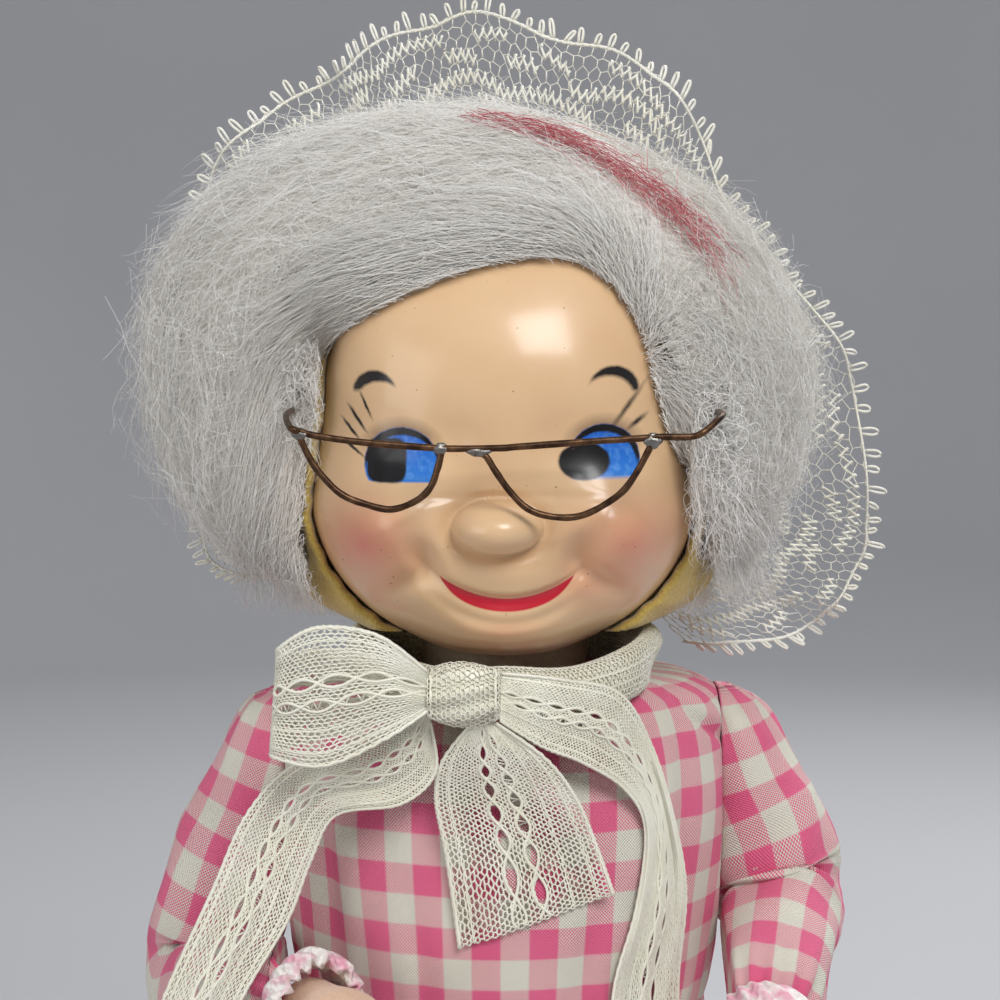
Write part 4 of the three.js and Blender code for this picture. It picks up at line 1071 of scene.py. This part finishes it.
def comb(at, swirl):
    """The way the hair runs: left from the parting over the top, down at both sides, loosely backwards, and
    never into the face."""
    off = at - hair_middle
    parting = 30 - 0.35 * (off[..., 1] + 30)
    to_left = np.where(off[..., 0] < parting, -1.0, 1.0)
    high = np.clip(off[..., 2] / hair_half[2], 0, 1)
    run = np.stack([to_left * (0.25 + 1.1 * high), 0.12 + 0 * high, -0.55 + 0.1 * high], -1) + swirl
    away, way, _ = from_hairline(at)
    near = np.exp(-np.clip(away, 0, None) / 9) * (off[..., 1] < 0)
    inward = np.clip(-(run[..., [0, 2]] * way).sum(-1), 0, None) + 0.35
    run[..., [0, 2]] += (near * inward)[..., None] * way
    return run


def grow(count, steps, length, lift, stray):
    """Hairs that start on the wig's form and follow the comb: each step goes that way, wanders by the stray,
    and is set back at its own height over the form, which changes along the hair by the lift."""
    start = chance.normal(size=(count, 3))
    at = settle(hair_middle + unit(start) * inside_hair, np.zeros(count))
    at = at[(at[:, 2] > wig_low[2] + 1) & ((from_hairline(at)[0] > 0) | (at[:, 1] > 0))]
    root = chance.uniform(-0.05, -0.015, len(at))
    tip = root + chance.uniform(*lift, len(at))
    stride = chance.uniform(*length, len(at))[:, None] / (steps - 1)
    swirl = chance.normal(0, stray, (len(at), 3))
    path = []
    for share in np.linspace(0, 1, steps):
        at = settle(at, root + (tip - root) * share ** 1.5)
        path.append(at)
        swirl = swirl + chance.normal(0, stray * 0.5, swirl.shape)
        out = unit(at - hair_middle)
        way = comb(at, swirl)
        at = at + unit(way - (way * out).sum(1, keepdims=True) * out) * stride
    path = np.stack(path, 1)
    clear = (from_hairline(path)[0] > np.where(path[..., 2] > eye_height, -2.0, -0.5)) | (path[..., 1] > 0)
    return path[clear.all(1) & (path[..., 2] > wig_low[2] - 5).all(1)]


def crimp(paths):
    """Waves in each hair, two to four along it, at its own place and size and in its own plane."""
    count, steps = paths.shape[:2]
    plane = chance.normal(size=(count, 1, 3))
    size = chance.uniform(0.1, 0.95, (count, 1))
    phase = chance.uniform(0, 6, (count, 1)) + chance.uniform(10, 24, (count, 1)) * np.linspace(0, 1, steps)
    return paths + plane * (size * np.sin(phase))[..., None]


def hairs(name, paths, thick=0.07, shade=(0.15, 1.0), finish=mohair, slot="white_mohair", nodes=()):
    """A tuft of crimped hairs on the head that taper to the tip, each with its own tone."""
    paths = crimp(paths)
    taper = thick * np.linspace(1, 0.45, paths.shape[1])
    points, faces = threads(paths, np.broadcast_to(taper, paths.shape[:2]))
    piece = new_piece(name, points, faces, finish)
    tones = np.repeat(chance.uniform(*shade, len(paths)), paths.shape[1] * 3)
    piece.data.attributes.new("tone", "FLOAT", "POINT").data.foreach_set("value", tones.astype(np.float32))
    fit(piece, "head", slot, *nodes)


layer_count = 4300
for number, (steps, length, lift, stray) in enumerate([
    (9, (18, 42), (0.0, 0.05), 0.2), (9, (18, 42), (0.0, 0.05), 0.24), (9, (14, 36), (0.01, 0.07), 0.34),
    (9, (14, 36), (0.01, 0.08), 0.4), (10, (16, 44), (0.02, 0.13), 0.6),
]):
    hairs(f"wig_hair_{number + 1}", grow(layer_count, steps, length, lift, stray))


def fringe(count, steps):
    """Hairs that spring from under the mask's edge and are brushed away from the face: each goes out from the
    hairline while it drifts along it, to the left over the brow and down at the sides."""
    walk = np.linspace(0, 1, steps)
    start = chance.uniform(0.035, 0.965, count)
    drift = np.tanh((start - 0.3) / 0.06) * chance.uniform(0.05, 0.3, count)
    drift *= np.clip(np.minimum(start, 1 - start) / 0.3, 0.1, 1)
    shares = start[:, None] + drift[:, None] * walk
    flat = curve(hairline, shares)
    way = unit(flat - brush_from)
    reach = chance.uniform(2, 18, count)[:, None] * walk ** chance.uniform(0.7, 1.3, count)[:, None]
    reach = reach - chance.uniform(-0.5, 1.2, count)[:, None]
    bend = chance.uniform(0.1, 1.1, count)[:, None] * np.sin(
        chance.uniform(0, 6, count)[:, None] + chance.uniform(2, 8, count)[:, None] * walk)
    flat = flat + way * reach[..., None] + bend[..., None] * way[..., ::-1] * [1, -1]
    path = np.stack([flat[..., 0], 0 * reach, eye_height + flat[..., 1]], -1)
    path[..., 1] = -hair_ahead(path) - chance.uniform(0.2, 2.6, count)[:, None] - np.abs(bend) * 0.5
    return path[((shares > 0.03) & (shares < 0.95)).all(1) & (path[..., 2] > wig_low[2] - 2).all(1)]


hairs("wig_fringe", fringe(4500, 10))


def side_locks(count, steps):
    """Hair that hangs from the wig's lower edge beside the jaw and the nape, drawn in towards the neck, over
    the sides of the stuffed head."""
    walk = np.linspace(0, 1, steps)
    half = count // 2
    turn = np.concatenate([chance.uniform(-0.72, 0.5, half), chance.uniform(2.64, 3.86, count - half)])
    spread, ends = chance.uniform(44, 52, count), chance.uniform(38.5, 46, count)
    wide = spread[:, None] + (ends - spread)[:, None] * walk ** 1.4
    high = chance.uniform(268, 286, count)[:, None] * (1 - walk)
    high = high + chance.uniform(253, 262, count)[:, None] * walk
    turn = turn[:, None] + chance.normal(0, 0.12, count)[:, None] * walk
    path = np.stack([wide * np.cos(turn), wide * np.sin(turn) * 0.86, high], -1)
    clear = (from_hairline(path)[0] > -1) | (path[..., 1] > -20)
    return path[clear.all(1)]


hairs("wig_side_locks", side_locks(2100, 10))


cheek_clear = 38


def curls(count, steps, at, fall, loop, lowest):
    """Loose curls beside the face: long hairs that loop as they fall and keep clear of the cheek."""
    walk = np.linspace(0, 1, steps)
    side = np.sign(at[0])
    start = np.array(at) + chance.normal(size=(count, 3)) * [2.5, 2.0, 6]
    drop = np.array(fall) + chance.normal(size=(count, 3)) * [5, 2, 7]
    twist = chance.uniform(4, 13, count)[:, None] * walk + chance.uniform(0, 6, count)[:, None]
    wide = chance.uniform(0.2 * loop, loop, count)[:, None]
    path = start[:, None] + drop[:, None] * walk[:, None]
    path[..., 0] += wide * np.cos(twist)
    path[..., 2] += wide * np.sin(twist)
    path[..., 1] += 0.5 * wide * np.sin(0.7 * twist)
    path[..., 0] = side * (cheek_clear + np.abs(side * path[..., 0] - cheek_clear))
    return path[(path[..., 2] > lowest).all(1)]


beside_eye = curls(330, 22, at=(42, -38, 296), fall=(2, 2, -17), loop=3.2, lowest=267)
hairs("wig_curls", beside_eye, 0.09, (0.4, 1.0))
at_temple = curls(260, 18, at=(-42, -31.5, 309), fall=(1, 1, -13), loop=2.2, lowest=284)
hairs("wig_temple_curls", at_temple, 0.08, (0.3, 1.0))


# Red fibre: a thin streak of dyed wool combed into the top of the wig, from the middle to the doll's left.
# It lies in among the white hairs, so that it shows through them.

red_wool = hair_finish("red_wool", 0.6, (166, 34, 52), (232, 124, 132), Sheen_Weight=0.3)
streak_line = [(-9, -20), (5.4, -22.5), (17.8, -24.5), (30, -27.5), (40.2, -29), (49, -28.5)]


def streak_hairs(count, steps):
    """Hairs along the streak, spread to both sides and lying on the wig's form, most of them just under the
    white ones."""
    walk = np.linspace(0, 1, steps)
    start = chance.uniform(0, 0.8, count)
    shares = start[:, None] + chance.uniform(0.12, 0.3, count)[:, None] * walk
    flat = curve(streak_line, shares)
    spread = chance.normal(0, 1.7, count)[:, None] + chance.normal(0, 2.0, count)[:, None] * walk
    path = np.stack([flat[..., 0] + 0.5 * spread, flat[..., 1] + spread, 345 + 0 * spread], -1)
    for _ in range(30):
        path[..., 2] += (1.0 - hair_level(path)) * 30
    lift = chance.uniform(-0.03, 0.025, count)[:, None, None]
    return hair_middle + (path - hair_middle) * (1 + lift)


hairs("red_streak", streak_hairs(230, 10), 0.075, finish=red_wool, slot="red_yarn", nodes=["hair_ribbon"])


# Bonnet: a net crown over the back of the wig, and a lace ruffle gathered to it that stands round the face.
# Stiff machine lace: six-sided net, zigzag gimp in bands, a corded scalloped edge and looped picots.

bonnet_thread = two_tone("bonnet_lace", 0.5, 70.0, 3.0, (226, 222, 200), (252, 251, 244), Sheen_Weight=0.3)
ruffle_low, ruffle_high = node_box("bonnet_ruffle")
ruffle_set_back = (ruffle_low[1] + ruffle_high[1]) / 2
ruffle_outline = np.array([
    (-0.74, -0.41), (-0.92, -0.34), (-0.95, 0.02), (-0.94, 0.47), (-0.86, 0.88), (-0.57, 1.07), (-0.38, 1.2),
    (-0.1, 1.287), (0.2, 1.21), (0.5, 1.09), (0.67, 0.77), (0.86, 0.52), (1.05, 0.27), (1.13, -0.17),
    (1.07, -0.44), (0.86, -0.6), (0.56, -0.61)]) * [74, 75]
ruffle_length, ruffle_width = 420.0, 27.0
scallop_step, gimp_run = 29, 48


def ruffle_surface(along, across):
    """The strip's outer edge follows the outline; across goes from the gathers to that edge. Folds swing it
    forwards and back, more towards the edge, by a cosine of thirteen turns with a smaller wave on it."""
    edge = curve(ruffle_outline, along)
    size = np.linalg.norm(edge, axis=-1)
    share = 1 - (1 - across) * ruffle_width / size
    phase = FULL_TURN * 13 * along
    swing = (3.0 * np.cos(phase) + 1.1 * np.sin(1.7 * phase + 1)) * (0.25 + 0.75 * across)
    drop = -0.06 * ruffle_width * (1 - np.cos(phase + 0.6)) / 2 * across
    share = share + drop / size
    return np.stack([edge[..., 0] * share, ruffle_set_back + swing, eye_height + edge[..., 1] * share], -1)


def ruffle_threads():
    """Net, then four scalloped bands of gimp, a thick thread that runs to and fro in rounded bends, then the
    corded edge and its loops."""
    place = lambda at: ruffle_surface(at[..., 0] / ruffle_length, at[..., 1] / ruffle_width)
    flat, ties = net(ruffle_length, ruffle_width, cell=3.1)
    parts = [threads(place(flat), 0.16), threads(place(ties), 0.16)]
    for low, wave, tall in ((4.0, 3.2, 1.6), (9.6, 3.4, 1.8), (15.2, 3.4, 1.8), (20.6, 2.8, 1.5)):
        x = np.arange(2, ruffle_length - 2, 0.19)
        bend = FULL_TURN * x / 2.3
        scallop = np.abs(np.sin(math.pi * x / scallop_step + 0.11 * low))
        wire = np.stack([x + 0.4 * np.sin(2 * bend), low + wave * scallop + tall * np.sin(bend)], -1)
        runs = wire[:len(wire) // gimp_run * gimp_run].reshape(-1, gimp_run, 2)
        worked = np.sin(runs[:, 0, 0] * 0.31 + 1.9 * low) > -0.5
        parts.append(threads(place(runs[worked]), 0.36))
    x = np.linspace(0, ruffle_length, 900)
    cord = np.stack([x, ruffle_width - 0.9 + 0.9 * np.abs(np.sin(math.pi * x / scallop_step))], -1)
    for twist in (0, math.pi):
        strand = place(cord[None])
        strand = strand + 0.24 * np.stack([0 * x, np.cos(5 * x + twist), np.sin(5 * x + twist)], -1)
        parts.append(threads(strand, 0.3, 4))
    foot = np.arange(3, ruffle_length - 2, 3.5)
    foot = foot + chance.uniform(-0.6, 0.6, len(foot))
    lean = chance.normal(0, 0.6, len(foot))
    tall = chance.uniform(1.8, 4.4, len(foot))
    loop = np.linspace(0, math.pi, 11)
    loops_x = foot[:, None] - 0.7 * np.cos(loop) * (0.5 + 0.7 * np.sin(loop)) + lean[:, None] * np.sin(loop)
    base = ruffle_width - 0.6 + 0.9 * np.abs(np.sin(math.pi * foot / scallop_step))
    loops = np.stack([loops_x, base[:, None] + tall[:, None] * np.sin(loop)], -1)
    parts.append(threads(place(loops), 0.34, 4))
    return join(*parts)


points, faces = ruffle_threads()
ruffle = new_piece("bonnet_ruffle_lace", points, faces, bonnet_thread)
fit(ruffle, "head", "ivory_lace", "bonnet_ruffle")

crown_length, crown_width = 400.0, 100.0


def crown_surface(along, across):
    """The back of the wig's form, just outside it: along goes all round from the nape, across goes from the
    ruffle to the middle of the back, where the net is drawn together."""
    turn = FULL_TURN * along - math.pi / 2
    tip = math.pi / 2 * (0.16 + 0.83 * across)
    way = np.stack([np.cos(turn) * np.cos(tip), np.sin(tip), np.sin(turn) * np.cos(tip)], -1)
    at = hair_middle + way * inside_hair
    level = 1.035 + 0.004 * np.sin(40 * turn) * (1 - across)
    at = hair_middle + (at - hair_middle) * (level / hair_level(at))[..., None]
    at[..., 2] = np.maximum(at[..., 2], wig_low[2] - 1)
    return at


crown_cords = [(0.01, 0.5), (0.06, 0.3)]
points, faces = lay_lace(crown_surface, crown_length, crown_width, cell=3.8, thread=0.26, cords=crown_cords)
crown = new_piece("bonnet_crown_net", points, faces, bonnet_thread)
fit(crown, "head", "ivory_lace", "bonnet_crown")


# Spectacles: one bronze-coloured wire across the brow, its ends pushed into the wig, and a half-moon wire
# soldered under it for each eye. Hand bent, tarnished brown, with grey solder where the wires meet.

tarnish = two_tone("bronze_wire", 0.4, 420.0, 4.0, (58, 40, 28), (112, 82, 58), 0.00015, (0.35, 0.7),
                   Metallic=0.85)
solder = two_tone("grey_solder", 0.38, 900.0, 3.0, (96, 92, 86), (150, 148, 144), 0.0003, Metallic=0.9)
bar_low, bar_high = node_box("glasses_bar")
wire_radius = 0.68
wire_ahead = -bar_low[1] - wire_radius


def bent_wire(points, steps, sides=10):
    """A round wire along the smooth curve through some points, with small bends from handling."""
    share = np.linspace(0, 1, steps)
    path = curve(points, share)
    path[:, 2] += 0.12 * np.sin(31 * share) * np.sin(math.pi * share)
    radius = wire_radius * (1 + 0.05 * np.sin(57 * share) * np.sin(23 * share))
    return threads(path[None], radius[None], sides)


temple_x, temple_z = bar_high[0] - wire_radius, bar_high[2] - wire_radius
bar_line = [(-40.9, 297.2), (-39.0, 296.4), (-36, 295.6), (-27, 294.5), (-13.2, 293.4), (-8.6, 293.1),
            (-0.8, 293.3), (2.6, 293.7), (14, 294.4), (24.6, 295), (30, 295.5), (36, 295.6), (38.6, 296.6)]
bar_points = ([(-temple_x, -wire_ahead + 36, temple_z), (-temple_x, -wire_ahead + 22, temple_z + 0.3),
               (-temple_x + 0.4, -wire_ahead + 9, temple_z - 0.2)]
              + [(x, -wire_ahead, z) for x, z in bar_line]
              + [(temple_x - 1.2, -wire_ahead + 4, temple_z), (temple_x, -wire_ahead + 14, temple_z + 0.3),
                 (temple_x, -wire_ahead + 36, temple_z)])
bar = new_piece("glasses_bar_wire", *bent_wire(bar_points, 220), tarnish)
fit(bar, "glasses", "bronze_wire", "glasses_bar")
rims = {
    "left_lens_wire": [(-5.6, 292.4), (-3.6, 291.8), (-1.6, 288.8), (1.0, 285), (4.6, 281.7), (9, 280),
                       (14, 280.2), (18.8, 282), (22.8, 285), (25.8, 289.2), (27.6, 292.6), (28.6, 294.8)],
    "right_lens_wire": [(-39.4, 295.8), (-37.8, 292.2), (-35.4, 288.4), (-32, 285), (-27.4, 282.6),
                        (-22, 281.6), (-17.4, 282.8), (-14.2, 285.8), (-12.8, 289.4), (-12.0, 292.8)],
}
for node, line in rims.items():
    rim = new_piece(node + "_bent", *bent_wire([(x, -wire_ahead + 0.2, z) for x, z in line], 120), tarnish)
    fit(rim, "glasses", "bronze_wire", node)


def solder_blob(name, at, half):
    """A lump of solder: an oval ball whose radius is rippled by two sines."""
    tip, turn = np.linspace(0, math.pi, 20)[:, None], turns(28)
    lump = 1 + 0.12 * np.sin(3 * turn + 2 * tip) * np.sin(tip) + 0.08 * np.sin(5 * tip)
    ball = np.stack([np.sin(tip) * np.cos(turn), np.sin(tip) * np.sin(turn), np.cos(tip) + 0 * turn], -1)
    ball[0], ball[-1] = ball[0].mean(0), ball[-1].mean(0)
    lump[0], lump[-1] = 1.0, 1.0
    return skin(name, np.array(at) + ball * lump[..., None] * half, solder, ends=True)


for number, (x, z, half) in enumerate([(-12.2, 293.2, (1.5, 0.9, 1.1)), (-4.8, 292.7, (2.3, 0.9, 1.0)),
                                       (28.6, 294.7, (1.7, 0.95, 1.5)), (-39.2, 296.0, (1.5, 0.95, 1.1))]):
    blob = solder_blob(f"glasses_solder_{number + 1}", (x, -wire_ahead + 0.1, z), half)
    fit(blob, "glasses", "bronze_wire")


# Studio: a pale round floor that curves up into a wall, three soft lamps and a camera at the photograph's
# height. None of it is part of the doll.

paper = two_tone("backdrop_paper", 0.9, 3.0, 2.0, (186, 186, 188), (194, 194, 196))


dish_sides = 120
floor_reach, floor_bend, wall_height = 1400, 600, 1700


def backdrop_rings():
    """A round floor that turns up into a wall through a quarter circle, spun about the doll."""
    turn = np.linspace(0, math.pi / 2, 20)
    rise = np.column_stack([floor_reach + floor_bend * np.sin(turn), floor_bend - floor_bend * np.cos(turn)])
    profile = np.concatenate([[(1, 0)], rise, [(floor_reach + floor_bend, wall_height)]])
    return np.stack([spun(radius, turns(dish_sides), height) for radius, height in profile])


dish = backdrop_rings()
dish_faces = [grid_faces(len(dish), dish_sides, closed=False), np.arange(dish_sides)[None]]
backdrop = new_piece("backdrop", dish.reshape(-1, 3), dish_faces, paper)

lit_middle = Vector((0, 0, 0.27))
for name, place, size, power in [("key", (0.42, -0.95, 1.15), 0.6, 12.5),
                                 ("fill", (-1.1, -0.85, 0.5), 1.0, 5.5),
                                 ("rim", (0.45, 0.8, 1.0), 0.6, 8.0)]:
    lamp = bpy.data.lights.new(name, "AREA")
    lamp.size, lamp.energy = size, power
    light = bpy.data.objects.new(name, lamp)
    light.location = place
    light.rotation_euler = (lit_middle - Vector(place)).to_track_quat("-Z", "Y").to_euler()
    bpy.context.scene.collection.objects.link(light)
world = bpy.context.scene.world or bpy.data.worlds.new("studio")
bpy.context.scene.world = world
world.use_nodes = True
sky_colour, sky_strength = (0.9, 0.93, 1.0, 1.0), 0.42
sky = world.node_tree.nodes["Background"]
sky.inputs["Color"].default_value = sky_colour
sky.inputs["Strength"].default_value = sky_strength

looked_at = np.array([-0.8, -45.0, 282.0])
camera_tilt = math.radians(5)
camera_away = 400.0
lens = bpy.data.cameras.new("camera")
lens.lens, lens.sensor_width, lens.clip_start = 72.0, 36.0, 0.01
camera = bpy.data.objects.new("camera", lens)
stand = looked_at + camera_away * np.array([0, -math.cos(camera_tilt), math.sin(camera_tilt)])
camera.location = stand / 1000
camera.rotation_euler = Vector(looked_at - stand).to_track_quat("-Z", "Y").to_euler()
bpy.context.scene.collection.objects.link(camera)
bpy.context.scene.camera = camera
bpy.context.scene.view_settings.view_transform = "Standard"
